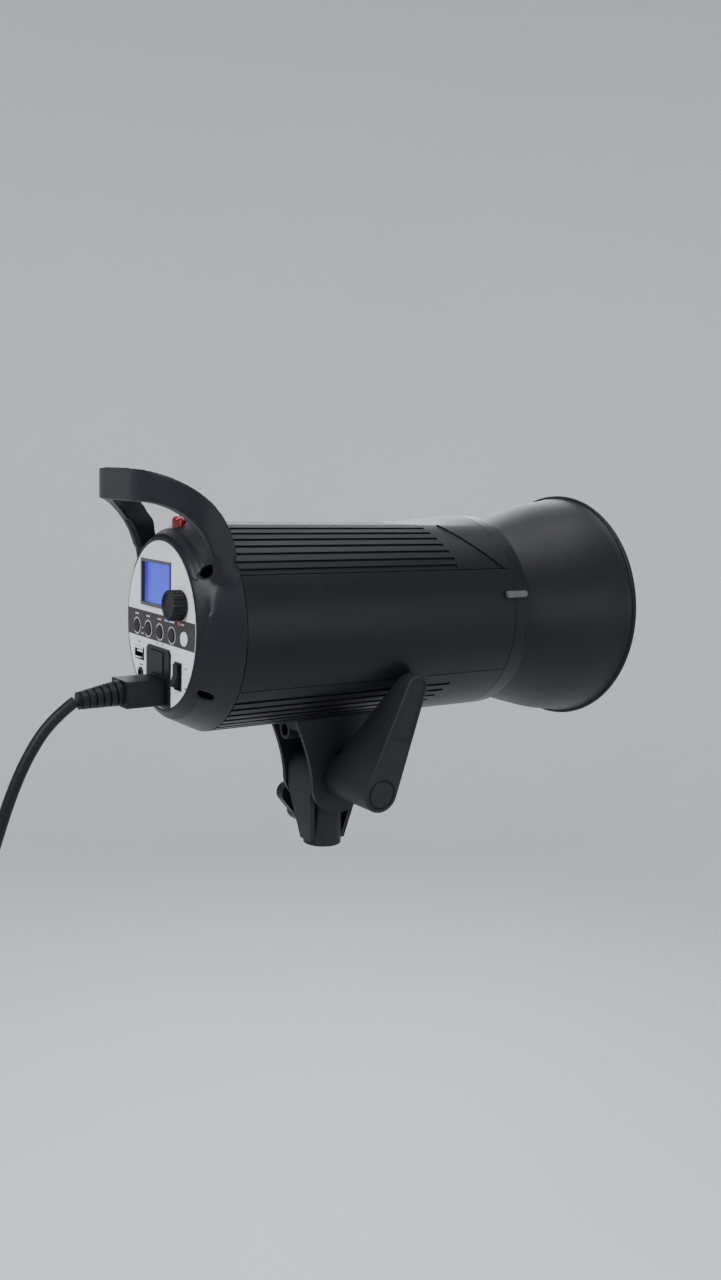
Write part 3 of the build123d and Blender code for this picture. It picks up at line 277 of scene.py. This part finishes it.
silvered = gloss_plastic("silvered", (0.10, 0.10, 0.115), 0.34)
silvered.node_tree.nodes["Principled BSDF"].inputs["Metallic"].default_value = 0.4
dome_red = gloss_plastic("dome_red", (0.22, 0.004, 0.007), 0.16, coat=0.5)
# Painted glow: the dome is no lamp, and this faint red emission stands in for light caught inside it.
dome_red.node_tree.nodes["Principled BSDF"].inputs["Emission Color"].default_value = (0.8, 0.02, 0.02, 1)
dome_red.node_tree.nodes["Principled BSDF"].inputs["Emission Strength"].default_value = 0.03
test_button_white = gloss_plastic("test_button_white", (0.80, 0.81, 0.84), 0.35)
porcelain = gloss_plastic("porcelain", (0.82, 0.81, 0.78), 0.25)
clear_tube = gloss_plastic("clear_tube", (0.95, 0.95, 0.94), 0.06, through=0.9, coat=0.0)
frosted_bulb = gloss_plastic("frosted_bulb", (0.93, 0.90, 0.84), 0.35, through=0.35, coat=0.1)
shrink_sleeve = gloss_plastic("shrink_sleeve", (0.02, 0.05, 0.14), 0.3)
board_green = gloss_plastic("board_green", (0.02, 0.16, 0.08), 0.4, 0.003)
core_iron = plated_metal("core_iron", (0.16, 0.16, 0.17), 0.5, 0.002)
fibre_disc = moulded_black("fibre_disc", (0.09, 0.08, 0.07), 0.8, 0.0006, 0.00005)
bezel_black = gloss_plastic("bezel_black", (0.030, 0.030, 0.045), 0.18)

# %% [markdown]
# ## The printed panel
#
# The control panel is a pale film with a dark strip for the buttons. Real panels carry lettering. Here
# short plain bars stand where a label would be, so the layout reads without any words. Each bar is a box
# mask in the panel's own plane: 1 inside a half width and a half height, 0 outside, with a soft edge.


# %% Printed film for panel and strip
def printed(name, ground, rough, bars, rings=()):
    """Film with bars (y, z, half width, half height, colour) and rings (y, z, radius, half width)."""
    f = Finish(name)
    x, y, z = f.axes()
    up = z - BEAM_Z
    fibres = f.noise(0.0012, 2.0)
    clouds = f.noise(0.03, 2.0)
    colour = f.blend(clouds, tuple(c * 0.96 for c in ground), ground)
    for bar_y, bar_z, half_w, half_h, ink in bars:
        mask = (y - bar_y * MM).size().under(half_w * MM, 0.12 * MM)
        mask = mask * (up - bar_z * MM).size().under(half_h * MM, 0.12 * MM)
        colour = f.blend(mask, colour, ink)
    for ring_y, ring_z, radius, half_w in rings:
        across = y - ring_y * MM
        rise = up - ring_z * MM
        away = ((across * across + rise * rise) ** 0.5 - radius * MM).size()
        colour = f.blend(away.under(half_w * MM, 0.1 * MM), colour, (0.62, 0.60, 0.58))
    return f.look(Base_Color=colour, Roughness=rough + (clouds - 0.5) * 0.1,
                  Normal=f.bump(fibres, 0.000008, 0.3))


INK = (0.10, 0.10, 0.11)
PALE = (0.62, 0.61, 0.60)
PANEL_BARS = [
    (31.8, -14.6, 2.2, 0.45, INK), (28.6, -29.6, 3.0, 0.5, INK),
    (-37.0, -22.6, 1.6, 0.45, INK), (-36.6, -35.0, 1.6, 0.45, INK),
    (4.6, -12.3, 1.8, 0.35, INK), (-3.6, -12.3, 1.8, 0.35, INK),
]
BAND_BARS = [
    (35.0, 3.6, 2.6, 0.45, PALE), (17.5, 3.6, 2.4, 0.45, PALE), (0.4, 3.6, 2.6, 0.45, PALE),
    (-9.6, 4.0, 2.4, 0.8, (0.20, 0.26, 0.85)), (-17.2, 4.0, 4.2, 0.5, PALE),
    (-27.6, 4.0, 1.6, 1.2, (0.75, 0.10, 0.08)), (-32.6, 4.0, 2.4, 0.5, PALE),
    (26.2, -5.0, 1.0, 0.35, PALE), (26.2, -8.6, 1.6, 0.35, PALE),
]
BAND_RINGS = [(y, -4.5, 5.2, 0.32) for y in (35.0, 17.5, 0.0, -17.5)]
panel_film = printed("panel_film", (0.80, 0.82, 0.86), 0.42, PANEL_BARS)
band_film = printed("band_film", (0.024, 0.022, 0.024), 0.45, BAND_BARS, BAND_RINGS)

# %% [markdown]
# ## The lit display
#
# The display is a blue-violet backlight behind glass, brighter away from its left edge where the lamp's
# light leaves it. The glow is Emission Color, with one strength all over, and the falloff is a smooth step
# in the panel's plane. Only the front face glows, so that no light leaks into the housing.


# %% Display finish
def backlit():
    f = Finish("display")
    x, y, z = f.axes()
    screen_low, screen_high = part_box("lcd_window")
    right = (screen_high.y - y) / (screen_high.y - screen_low.y)
    rise = (z - screen_low.z) / (screen_high.z - screen_low.z)
    glow = right.under(0.16, 0.12)
    lower = f.blend(glow, (0.055, 0.085, 0.92), (0.045, 0.012, 0.55))
    light = f.blend(rise.under(0.35, 0.4) * 0.3, lower, (0.11, 0.16, 1.0))
    front = x.under(screen_low.x + 0.3 * MM, 0.1 * MM)
    shine = f.blend(front, (0.0, 0.0, 0.0), light)
    f.look(Coat_Weight=0.25, Coat_Roughness=0.05, Emission_Strength=1.0, Specular_IOR_Level=0.25)
    return f.look(Base_Color=(0.005, 0.006, 0.08), Roughness=0.3, Emission_Color=shine)


display = backlit()


# %% [markdown]
# ## Reflector paint
#
# The bowl is spun aluminium: satin black outside, and bright inside with a fine hammered texture that
# breaks up the flash. Two materials share the piece. Voronoi cells a few millimetres wide make the dimples.

# %% Reflector finishes
def hammered_silver():
    f = Finish("hammered_silver")
    cells = f.node("ShaderNodeTexVoronoi", {"feature": "SMOOTH_F1"},
                   {"Vector": f.place, "Scale": 330.0, "Smoothness": 0.7})
    clouds = f.noise(0.02, 3.0)
    return f.look(Base_Color=f.blend(clouds, (0.66, 0.67, 0.69), (0.80, 0.81, 0.83)), Metallic=1.0,
                  Roughness=0.24 + (clouds - 0.5) * 0.08, Normal=f.bump(cells, 0.0005, 0.5))


def spun_black():
    f = Finish("spun_black")
    x, y, z = f.axes()
    rings = (x * 5200.0).wave() + f.noise(0.0005, 1.0)
    clouds = f.noise(0.03, 3.0)
    return f.look(Base_Color=f.blend(clouds, (0.0065, 0.0065, 0.0075), (0.0100, 0.0100, 0.0115)),
                  Specular_IOR_Level=0.24, Roughness=0.46 + (clouds - 0.5) * 0.12,
                  Normal=f.bump(rings, 0.000006, 0.5))


reflector_silver = hammered_silver()
reflector_black = spun_black()
print(len(bpy.data.materials), "finishes")

# %% [markdown]
# ## Camera
#
# The camera stands behind the head on the operator's right, a little above it, and looks forward and down.
# Its three axes are worked out from two turns and a small roll, and go into the columns of its matrix.

# %% Camera
yaw, pitch, roll = (math.radians(a) for a in (34.71, -8.11, -1.77))
ahead = Vector((math.sin(yaw) * math.cos(pitch), math.cos(yaw) * math.cos(pitch), math.sin(pitch)))
level = Vector((math.cos(yaw), -math.sin(yaw), 0))
down = ahead.cross(level)
right = level * math.cos(roll) + down * math.sin(roll)
down = down * math.cos(roll) - level * math.sin(roll)
lens = bpy.data.cameras.new("camera")
lens.sensor_width = 36.0
lens.lens = 36.0 * 1147 / 1280
lens.clip_start = 0.01
lens.clip_end = 50.0
camera = bpy.data.objects.new("camera", lens)
turn = Matrix((right, -down, -ahead)).transposed().to_4x4()
camera.matrix_world = Matrix.Translation((-0.4311, -0.6629, 0.2582)) @ turn
bpy.context.scene.collection.objects.link(camera)
bpy.context.scene.camera = camera
print("lens", round(lens.lens, 2), "mm")

# %% [markdown]
# ## Stage and light
#
# The head normally stands on a light stand, so the floor is well below it. A cove, a floor that curves up
# into a wall all round, gives a plain pale background from every side. It is spun from a profile of a few
# points about a vertical axis. Large soft lamps and a pale sky give long, quiet highlights: a black object
# is shown by what it reflects.

# %% Stage
FLOOR_R, BEND_R, WALL_H = 2.4, 0.9, 3.0
FLOOR_Z = -0.85


def cove():
    bm = bmesh.new()
    profile = [(0.02, 0.0), (FLOOR_R / 2, 0.0), (FLOOR_R, 0.0)]
    profile += [(FLOOR_R + BEND_R * math.sin(a), BEND_R - BEND_R * math.cos(a)) for a in
                [math.radians(d) for d in range(9, 91, 9)]]
    profile += [(FLOOR_R + BEND_R, 2 * BEND_R), (FLOOR_R + BEND_R, WALL_H)]
    spots = [bm.verts.new((r, 0, h)) for r, h in profile]
    for a, b in zip(spots, spots[1:]):
        bm.edges.new((a, b))
    bmesh.ops.spin(bm, geom=bm.verts[:] + bm.edges[:], cent=(0, 0, 0), axis=(0, 0, 1),
                   angle=math.tau, steps=72, use_merge=True)
    bmesh.ops.holes_fill(bm, edges=[e for e in bm.edges if e.is_boundary and e.verts[0].co.z < 0.1], sides=0)
    bmesh.ops.recalc_face_normals(bm, faces=bm.faces)
    bmesh.ops.translate(bm, verts=bm.verts, vec=(0, 0, FLOOR_Z))
    mesh = bpy.data.meshes.new("cove")
    bm.to_mesh(mesh)
    bm.free()
    mesh.shade_smooth()
    piece = bpy.data.objects.new("cove", mesh)
    bpy.context.scene.collection.objects.link(piece)
    f = Finish("cove_paint")
    clouds = f.noise(0.5, 3.0)
    mesh.materials.append(f.look(Base_Color=f.blend(clouds, (0.84, 0.84, 0.85), (0.88, 0.88, 0.89)),
                                 Roughness=0.9))
    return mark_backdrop(piece)


cove()


# %% Lamps and sky
def soft_lamp(name, place, aim, width, height, watts, tint=(1, 1, 1)):
    light = bpy.data.lights.new(name, "AREA")
    light.shape = "RECTANGLE"
    light.size, light.size_y = width, height
    light.energy = watts
    light.color = tint
    lamp = bpy.data.objects.new(name, light)
    lamp.location = place
    lamp.rotation_euler = (Vector(place) - Vector(aim)).to_track_quat("Z", "Y").to_euler()
    bpy.context.scene.collection.objects.link(lamp)


soft_lamp("window", (-1.3, -0.5, 1.2), (-0.05, 0, 0.16), 0.9, 0.9, 24)
soft_lamp("ceiling", (0.3, -0.2, 1.9), (0, 0, 0.1), 1.8, 1.4, 26)
soft_lamp("back", (0.9, 1.4, 0.9), (0.05, 0, 0.12), 1.2, 0.9, 16, (0.95, 0.97, 1))
soft_lamp("front_fill", (0.6, -1.8, 0.35), (0, 0, 0.1), 1.2, 0.8, 6)
sky = bpy.data.worlds.new("sky")
sky.use_nodes = True
sky.node_tree.nodes["Background"].inputs["Color"].default_value = (0.80, 0.82, 0.86, 1)
sky.node_tree.nodes["Background"].inputs["Strength"].default_value = 0.40
bpy.context.scene.world = sky

# %% [markdown]
# ## The mains lead
#
# A lead is a fixed length of something springy. It leaves its sleeve level, droops, and hangs in one long
# curve. What isn't in use is wound into a ring of six turns, two deep and three wide, and the plug hangs
# from the side of the ring. The whole lead is one NURBS spline. The free run is a handful of points, and
# the turns come from a loop: the angle grows steadily, and near the end of each turn the lead steps over
# to the next place in the ring.

# %% Free run and coil
LEAD_R = 0.0037
SLEEVE_START = Vector((-0.1535, 0.0003, 0.1200))
SLEEVE_END = Vector((-0.18214, 0.0003, 0.11699))
FREE_RUN = [
    SLEEVE_END, (-0.1965, 0.0003, 0.1075), (-0.2115, 0.0005, 0.0865), (-0.2230, 0.0010, 0.0605),
    (-0.2325, 0.0020, 0.0300), (-0.2430, 0.0038, -0.0030),
]
COIL_MIDDLE = Vector((-0.260, 0.008, -0.087))
coil_side = Vector((math.cos(math.radians(55)), math.sin(math.radians(55)), 0))
coil_axis = Vector((-coil_side.y, coil_side.x, 0))
PITCH = 0.0077
INNER_R, OUTER_R = 0.0382, 0.0459


def in_coil(side, axis, up):
    """Point beside the coil's middle, in millimetres."""
    return COIL_MIDDLE + coil_side * side * MM + coil_axis * axis * MM + Vector((0, 0, up * MM))


def step(value, start, end):
    t = min(max((value - start) / (end - start), 0), 1)
    return t * t * (3 - 2 * t)


def coil_turns():
    """Points of six turns: three outer ones, then three inner ones on the way back."""
    points = []
    per_turn = 20
    spread = 1 / (0.75 + 0.25 * math.cos(math.tau / per_turn))
    angle = 26.0
    while angle < 2160 + 72:
        slot = -1 + step(angle, 305, 358) + step(angle, 665, 718)
        slot -= step(angle, 1385, 1438) + step(angle, 1745, 1798) + step(angle, 2105, 2158)
        radius = (OUTER_R + (INNER_R - OUTER_R) * step(angle, 1025, 1078)) * spread / MM
        a = math.radians(angle)
        points.append(in_coil(-radius * math.sin(a), slot * PITCH / MM, radius * math.cos(a)))
        angle += 360 / per_turn
    return points


lead_points = FREE_RUN + [in_coil(4.0, -12.4, 72), in_coil(1.2, -9.4, 60), in_coil(-5.5, -7.7, 51)]
lead_points += [in_coil(-13, -7.7, 45.8)] + coil_turns()
lead_points += [in_coil(-38.2, -15.4, z) for z in (4, -10, -25, -40.5)]
curve = bpy.data.curves.new("mains_lead", "CURVE")
curve.dimensions = "3D"
spline = curve.splines.new("NURBS")
spline.points.add(len(lead_points) - 1)
for point, place in zip(spline.points, lead_points):
    point.co = (*place, 1)
spline.order_u = 3
spline.use_endpoint_u = True
spline.resolution_u = 5
curve.bevel_depth = LEAD_R
curve.bevel_resolution = 4
curve.use_fill_caps = True
curve.materials.append(lead_black)
lead = bpy.data.objects.new("mains_lead", curve)
bpy.context.scene.collection.objects.link(lead)
print("lead has", len(lead_points), "points")


# %% [markdown]
# ## Turning a bmesh into a piece
#
# Every new piece ends the same way: its faces are smooth except across real edges, it gets its finish, it
# rides on a body and it stands for the CAD nodes that it replaces. `finish_piece` does that once.

# %% finish_piece
def finish_piece(bm, name, body, finishes, slot, nodes=(), sharp=32, bevel=0.0, segments=2, limit=32):
    mesh = bpy.data.meshes.new(name)
    bm.to_mesh(mesh)
    bm.free()
    for left in ("custom_normal", "sharp_face", "sharp_edge"):
        if left in mesh.attributes:
            mesh.attributes.remove(mesh.attributes[left])
    mesh.shade_smooth()
    mesh.set_sharp_from_angle(angle=math.radians(sharp))
    for finish in finishes if isinstance(finishes, (list, tuple)) else [finishes]:
        mesh.materials.append(finish)
    piece = bpy.data.objects.new(name, mesh)
    bpy.context.scene.collection.objects.link(piece)
    if bevel:
        rounding = piece.modifiers.new("rounding", "BEVEL")
        rounding.width = bevel
        rounding.segments = segments
        rounding.limit_method = "ANGLE"
        rounding.angle_limit = math.radians(limit)
        rounding.harden_normals = True
    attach(piece, body)
    if nodes:
        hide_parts(*nodes)
    return piece


def solid_copy(*nodes):
    """The CAD nodes as one clean bmesh: doubles merged, and flat triangles joined into whole faces."""
    bm = bmesh.new()
    for node in nodes:
        bm.from_mesh(frame["nodes"][node].data)
    for face in bm.faces:
        face.material_index = 0
    bmesh.ops.remove_doubles(bm, verts=bm.verts, dist=0.000003)
    bmesh.ops.dissolve_limit(bm, angle_limit=math.radians(0.4), verts=bm.verts, edges=bm.edges)
    return bm


# %% [markdown]
# ## Which node belongs to which body and slot
#
# The frame's record already says which finish slot each node has and which body it rides on. Reading both
# from there keeps the lesson and the frame in step.

# %% Look-ups from the record
SLOT_OF = {part["node"]: part["material_slot"] for part in frame["record"]["subparts"]}
BODY_OF = {node: body for body, nodes in frame["record"]["behaviour"]["bodies"].items() for node in nodes}
FINISH_OF = {
    "housing_plastic": housing_black, "collar_plastic": collar_black, "rear_plastic": rear_black,
    "bracket_plastic": bracket_black, "knob_plastic": knob_black, "panel_white": panel_film,
    "band_grey": band_film, "bezel_black": bezel_black, "screen": display, "dial_black": socket_black,
    "button_black": socket_black, "button_white": test_button_white, "port_black": socket_black,
    "inlet_black": socket_black, "contact_metal": contact_metal, "dome_red": dome_red,
    "steel": zinc_steel, "black_steel": screw_steel, "slider_silver": silvered,
    "bayonet_aluminium": bayonet_metal, "reflector_paint": reflector_black, "tube_glass": clear_tube,
    "bulb_glass": frosted_bulb, "socket_white": porcelain, "sheet_metal": folded_sheet,
    "capacitor_sleeve": shrink_sleeve, "circuit_board": board_green, "iron_core": core_iron,
    "fan_black": socket_black, "friction_fibre": fibre_disc, "lead_black": lead_black,
    "tie_black": knob_black,
}
for node, thing in frame["nodes"].items():
    thing.data.materials.clear()
    thing.data.materials.append(FINISH_OF[SLOT_OF[node]])
print("every node has its finish")


# %% [markdown]
# ## Moulded edges
#
# No moulded or stamped part has a perfectly sharp edge, and the thin highlight along each edge is what
# makes it look real. The parts whose shape is already right are copied, and a Bevel modifier rounds every
# edge that is sharper than a limit. The width differs: a third of a millimetre on the covers, more on the
# cast bracket and the knob.

# %% Rounded copies
def rounded(node, width, segments=2, **options):
    bm = solid_copy(node)
    return finish_piece(bm, node + "_finished", BODY_OF[node], FINISH_OF[SLOT_OF[node]], SLOT_OF[node],
                        [node], bevel=width * MM, segments=segments, **options)


EDGES = {
    "top_cover": 0.35, "bottom_cover": 0.35, "side_panel_left": 0.5, "side_panel_right": 0.5,
    "front_collar": 0.5, "bayonet_ring": 0.3, "release_slider": 0.7, "reflector_bayonet": 0.3,
    "lamp_plate": 0.3, "tilt_bracket": 0.9, "stand_receiver": 0.9, "stand_knob": 1.6,
    "pivot_bolt": 0.4, "bracket_screws": 0.4, "fuse_drawer": 0.5, "inlet": 0.3, "rocker_frame": 0.3,
    "power_rocker": 0.4, "usb_socket": 0.15, "sync_jack": 0.2, "lcd_bezel": 0.25, "control_panel": 0.12,
    "rear_screws": 0.3, "button_5": 0.8, "button_4": 0.8, "button_3": 0.8, "button_2": 0.8,
    "button_1": 0.8, "cord_plug": 1.0, "coil_tie": 0.4, "lamp_socket": 0.6, "chassis": 0.3,
    "tilt_lever": 0.4, "knob_stud": 0.4,
    "lever_nut": 0.4, "lock_pin": 0.2, "friction_discs": 0.2,
}
for node, width in EDGES.items():
    rounded(node, width, 3 if width > 0.6 else 2)
for node in ("sensor_dome", "modelling_lamp", "flash_tube"):
    rounded(node, 0, sharp=50)
print(len(EDGES), "parts have rounded edges")


# %% [markdown]
# ## Pale tongue in the data socket
#
# The contacts of the data socket sit on a pale plastic tongue inside the black shell. The tongue is part of
# the same solid, so its faces are found by where they are and given a second finish.

# %% Tongue
def pale_tongue(piece):
    shell_low, shell_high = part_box("usb_socket")
    piece.data.materials.append(test_button_white)
    for face in piece.data.polygons:
        inside = shell_low.y + 2.6 * MM < face.center.y < shell_high.y - 2.6 * MM
        inside = inside and shell_high.z - 4.2 * MM < face.center.z < shell_high.z - 2.4 * MM
        if inside and face.center.x < shell_high.x - 2.2 * MM:
            face.material_index = 1


pale_tongue(bpy.data.objects["usb_socket_finished"])

# %% [markdown]
# ## Rear cover and handle, fused
#
# The grip, its two legs and the sloping rear cover are one moulding: the legs run into the cover without
# a seam. Joining the two CAD solids with a voxel remesh fuses them and rounds every inside corner, as a
# mould would. The grip's edges are bevelled first, because a remesh alone would leave them too tight.

# %% Grip with soft edges
def free_object(bm, name):
    mesh = bpy.data.meshes.new(name)
    bm.to_mesh(mesh)
    bm.free()
    thing = bpy.data.objects.new(name, mesh)
    bpy.context.scene.collection.objects.link(thing)
    return thing


def applied(thing):
    """The object's mesh with its modifiers in it; the object goes."""
    mesh = bpy.data.meshes.new_from_object(thing.evaluated_get(bpy.context.evaluated_depsgraph_get()))
    bpy.data.objects.remove(thing)
    return mesh


def soft_grip():
    grip = free_object(solid_copy("handle"), "rear_shell_raw")
    rounding = grip.modifiers.new("rounding", "BEVEL")
    rounding.width = 2.2 * MM
    rounding.segments = 4
    rounding.limit_method = "ANGLE"
    rounding.angle_limit = math.radians(40)
    return applied(grip)


# %% Cover and grip as one mesh
def fused_shell():
    bm = solid_copy("rear_cover")
    bm.from_mesh(soft_grip())
    whole = free_object(bm, "rear_shell_joined")
    fuse = whole.modifiers.new("fuse", "REMESH")
    fuse.mode = "VOXEL"
    fuse.voxel_size = 0.8 * MM
    smooth = whole.modifiers.new("smooth", "SMOOTH")
    smooth.factor = 0.5
    smooth.iterations = 6
    bm = bmesh.new()
    bm.from_mesh(applied(whole))
    return bm


# %% [markdown]
# ## Scoop, facet and feet of the rear shell
#
# Three soft details are left, and each is a small move of the points behind a mask. Inside the legs the
# cover is scooped, down to a clear ledge beside the panel. Under the ledge lies a crescent facet, whose
# outer edge is part of a circle set a little high. Where the legs end, repeated smoothing melts them into
# the cover. All heights count from the beam axis.

# %% Scoop inside the legs
LEDGE_UP = 32.6 * MM
LEG_INSIDE_Y = 50.5 * MM
SCOOP_DEPTH = 2.2 * MM
SCOOP_OVAL_Y, SCOOP_OVAL_Z = 53.5 * MM, 56.8 * MM
SCOOP_TOP, SCOOP_END = 62 * MM, 70 * MM


def scoop_inside_legs(bm):
    for vert in bm.verts:
        up = vert.co.z - BEAM_Z
        across = abs(vert.co.y)
        oval = math.hypot(across / SCOOP_OVAL_Y, up / SCOOP_OVAL_Z)
        scoop = step(up, LEDGE_UP, LEDGE_UP + 1.2 * MM) * step(oval, 1.0, 1.06)
        scoop *= 1 - step(across, LEG_INSIDE_Y, LEG_INSIDE_Y + 2 * MM)
        scoop *= step(vert.co.x, REAR_SEAM - 4 * MM, REAR_SEAM - 9 * MM)
        scoop *= 1 - step(up, SCOOP_TOP, SCOOP_END)
        scoop *= 1 if vert.co.x > PANEL_FACE - 2 * MM else 0
        vert.co.x += SCOOP_DEPTH * scoop


# %% Facet beside the panel, in millimetres
FACET_R, FACET_UP, FACET_DEPTH = 57.0, 13.3, 2.6
FACET_LOW, FACET_HIGH = -22.0, 32.6
FACET_WIDE = 6.0
PANEL_RIM_Y = (panel_high.y - panel_low.y) / 2 / MM + 1.2
PANEL_RIM_Z = (panel_high.z - panel_low.z) / 2 / MM + 1.2


def facet_beside_panel(bm):
    for vert in bm.verts:
        up = (vert.co.z - BEAM_Z) / MM
        across = abs(vert.co.y) / MM
        outline = FACET_R ** 2 - (up - FACET_UP) ** 2
        in_reach = FACET_LOW < up < FACET_HIGH and vert.co.x < REAR_SEAM - 13 * MM
        if not in_reach or outline <= 0:
            continue
        edge = PANEL_RIM_Y * math.sqrt(max(1 - (up / PANEL_RIM_Z) ** 2, 0))
        room = math.sqrt(outline) - edge
        if room > 0.4 and edge < across < edge + room:
            vert.co.x += FACET_DEPTH * MM * min(room / FACET_WIDE, 1) * (across - edge) / room


# %% Feet of the legs
FOOT_Y, FOOT_UP, FOOT_R = 60 * MM, 30 * MM, 17 * MM
FOOT_ROUNDS = 70


def melt_leg_feet(bm):
    feet = []
    for vert in bm.verts:
        away = math.hypot(abs(vert.co.y) - FOOT_Y, vert.co.z - BEAM_Z - FOOT_UP)
        if away < FOOT_R and REAR_SEAM - 22 * MM < vert.co.x < REAR_SEAM - 1.2 * MM:
            feet.append(vert)
    for i in range(FOOT_ROUNDS):
        bmesh.ops.smooth_vert(bm, verts=feet, factor=0.5, use_axis_x=True, use_axis_y=True,
                              use_axis_z=True)


# %% Rear shell
shell = fused_shell()
scoop_inside_legs(shell)
facet_beside_panel(shell)
melt_leg_feet(shell)
print("rear shell", len(shell.faces), "faces")
finish_piece(shell, "rear_shell", "head", rear_black, "rear_plastic", ["rear_cover", "handle"], sharp=60)

# %% [markdown]
# ## Reflector in two finishes
#
# The bowl is one sheet, black outside and silver inside. Each face of the copy is asked whether it looks
# towards the beam or forwards, and the ones that do get the silver finish.

# %% Reflector
def reflector_bowl():
    bm = solid_copy("reflector")
    bm.normal_update()
    for face in bm.faces:
        middle = face.calc_center_median()
        away = Vector((0, middle.y, middle.z - BEAM_Z))
        facing = face.normal.dot(away.normalized()) - face.normal.x * 0.6
        face.material_index = 1 if facing < -0.2 and away.length < 0.0827 else 0
    return finish_piece(bm, "reflector_bowl", "reflector", [reflector_black, reflector_silver],
                        "reflector_paint", ["reflector"], sharp=40)


reflector_bowl()

# %% [markdown]
# ## Dial
#
# The dial has a fine straight knurl, a chamfered face and a shallow dish. It starts as a circle with an
# even number of points. Every second point is drawn in a little, and the outline is then extruded through
# the waist, the grip and the face.


# %% Knurled dial
def knurled_dial():
    low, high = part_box("dial")
    middle = Vector((0, (low.y + high.y) / 2, (low.z + high.z) / 2))
    radius = (high.y - low.y) / 2
    bm = bmesh.new()
    bmesh.ops.create_circle(bm, cap_ends=True, segments=96, radius=radius * 0.985)
    for i, vert in enumerate(bm.verts):
        if i % 4 in (2, 3):
            bmesh.ops.scale(bm, verts=[vert], vec=(0.955, 0.955, 1))
    levels = [(0.0, 1.0), (0.0072, 1.0), (0.0010, 0.985), (0.0007, 0.90), (0.0, 0.80), (-0.0009, 0.72)]
    face = bm.faces[:][0]
    size = 1.0
    for rise, scale in levels[1:]:
        made = bmesh.ops.extrude_discrete_faces(bm, faces=[face])
        face = made["faces"][0]
        bmesh.ops.translate(bm, verts=face.verts, vec=(0, 0, rise))
        bmesh.ops.scale(bm, verts=face.verts, vec=(scale / size, scale / size, 1))
        size = scale
    shaft = bmesh.ops.create_cone(bm, cap_ends=True, segments=32, radius1=0.003, radius2=0.003, depth=0.006)
    bmesh.ops.translate(bm, verts=shaft["verts"], vec=(0, 0, -0.003))
    bmesh.ops.rotate(bm, verts=bm.verts, cent=(0, 0, 0), matrix=Matrix.Rotation(math.radians(-90), 3, "Y"))
    bmesh.ops.translate(bm, verts=bm.verts, vec=middle + Vector((PANEL_FACE - 0.0008, 0, 0)))
    bmesh.ops.recalc_face_normals(bm, faces=bm.faces)
    return finish_piece(bm, "knurled_dial", "dial", socket_black, "dial_black", ["dial"], sharp=25)


knurled_dial()


# %% [markdown]
# ## Ringed sleeve
#
# Behind the connector the lead is kept from kinking by a tapered sleeve with rings. Each ring is a few
# extrusions of the same circle: out, along, in and along again, a little smaller every time.

# %% Sleeve on the lead
def ringed_sleeve():
    bm = bmesh.new()
    bmesh.ops.create_circle(bm, cap_ends=True, segments=40, radius=0.0082)
    face = bm.faces[:][0]
    length = (SLEEVE_END - SLEEVE_START).length - 0.0018
    rings = 6
    radius = 0.0082
    for i in range(rings):
        for share, depth in ((0.08, 1.0), (0.5, 1.0), (0.08, 0.97), (0.02, 0.76), (0.3, 0.76), (0.02, 0.97)):
            made = bmesh.ops.extrude_discrete_faces(bm, faces=[face])
            face = made["faces"][0]
            along = (i + share) / rings
            wanted = (0.0082 + (0.0055 - 0.0082) * along) * depth
            bmesh.ops.translate(bm, verts=face.verts, vec=(0, 0, length / rings * share))
            bmesh.ops.scale(bm, verts=face.verts, vec=(wanted / radius, wanted / radius, 1))
            radius = wanted
    heading = (SLEEVE_END - SLEEVE_START).normalized()
    turn = heading.to_track_quat("Z", "Y").to_matrix()
    bmesh.ops.rotate(bm, verts=bm.verts, cent=(0, 0, 0), matrix=turn)
    bmesh.ops.translate(bm, verts=bm.verts, vec=SLEEVE_START)
    bmesh.ops.recalc_face_normals(bm, faces=bm.faces)
    return finish_piece(bm, "ringed_sleeve", "head", lead_black, "lead_black", ["strain_relief"], sharp=50,
                        bevel=0.0002)


sleeve = ringed_sleeve()

# %% Lead, plug and tie belong together
far_plug = rounded("mains_plug", 0.9, 3)
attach(lead, "head")
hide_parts("cord", "cord_coil", "cord_tail")
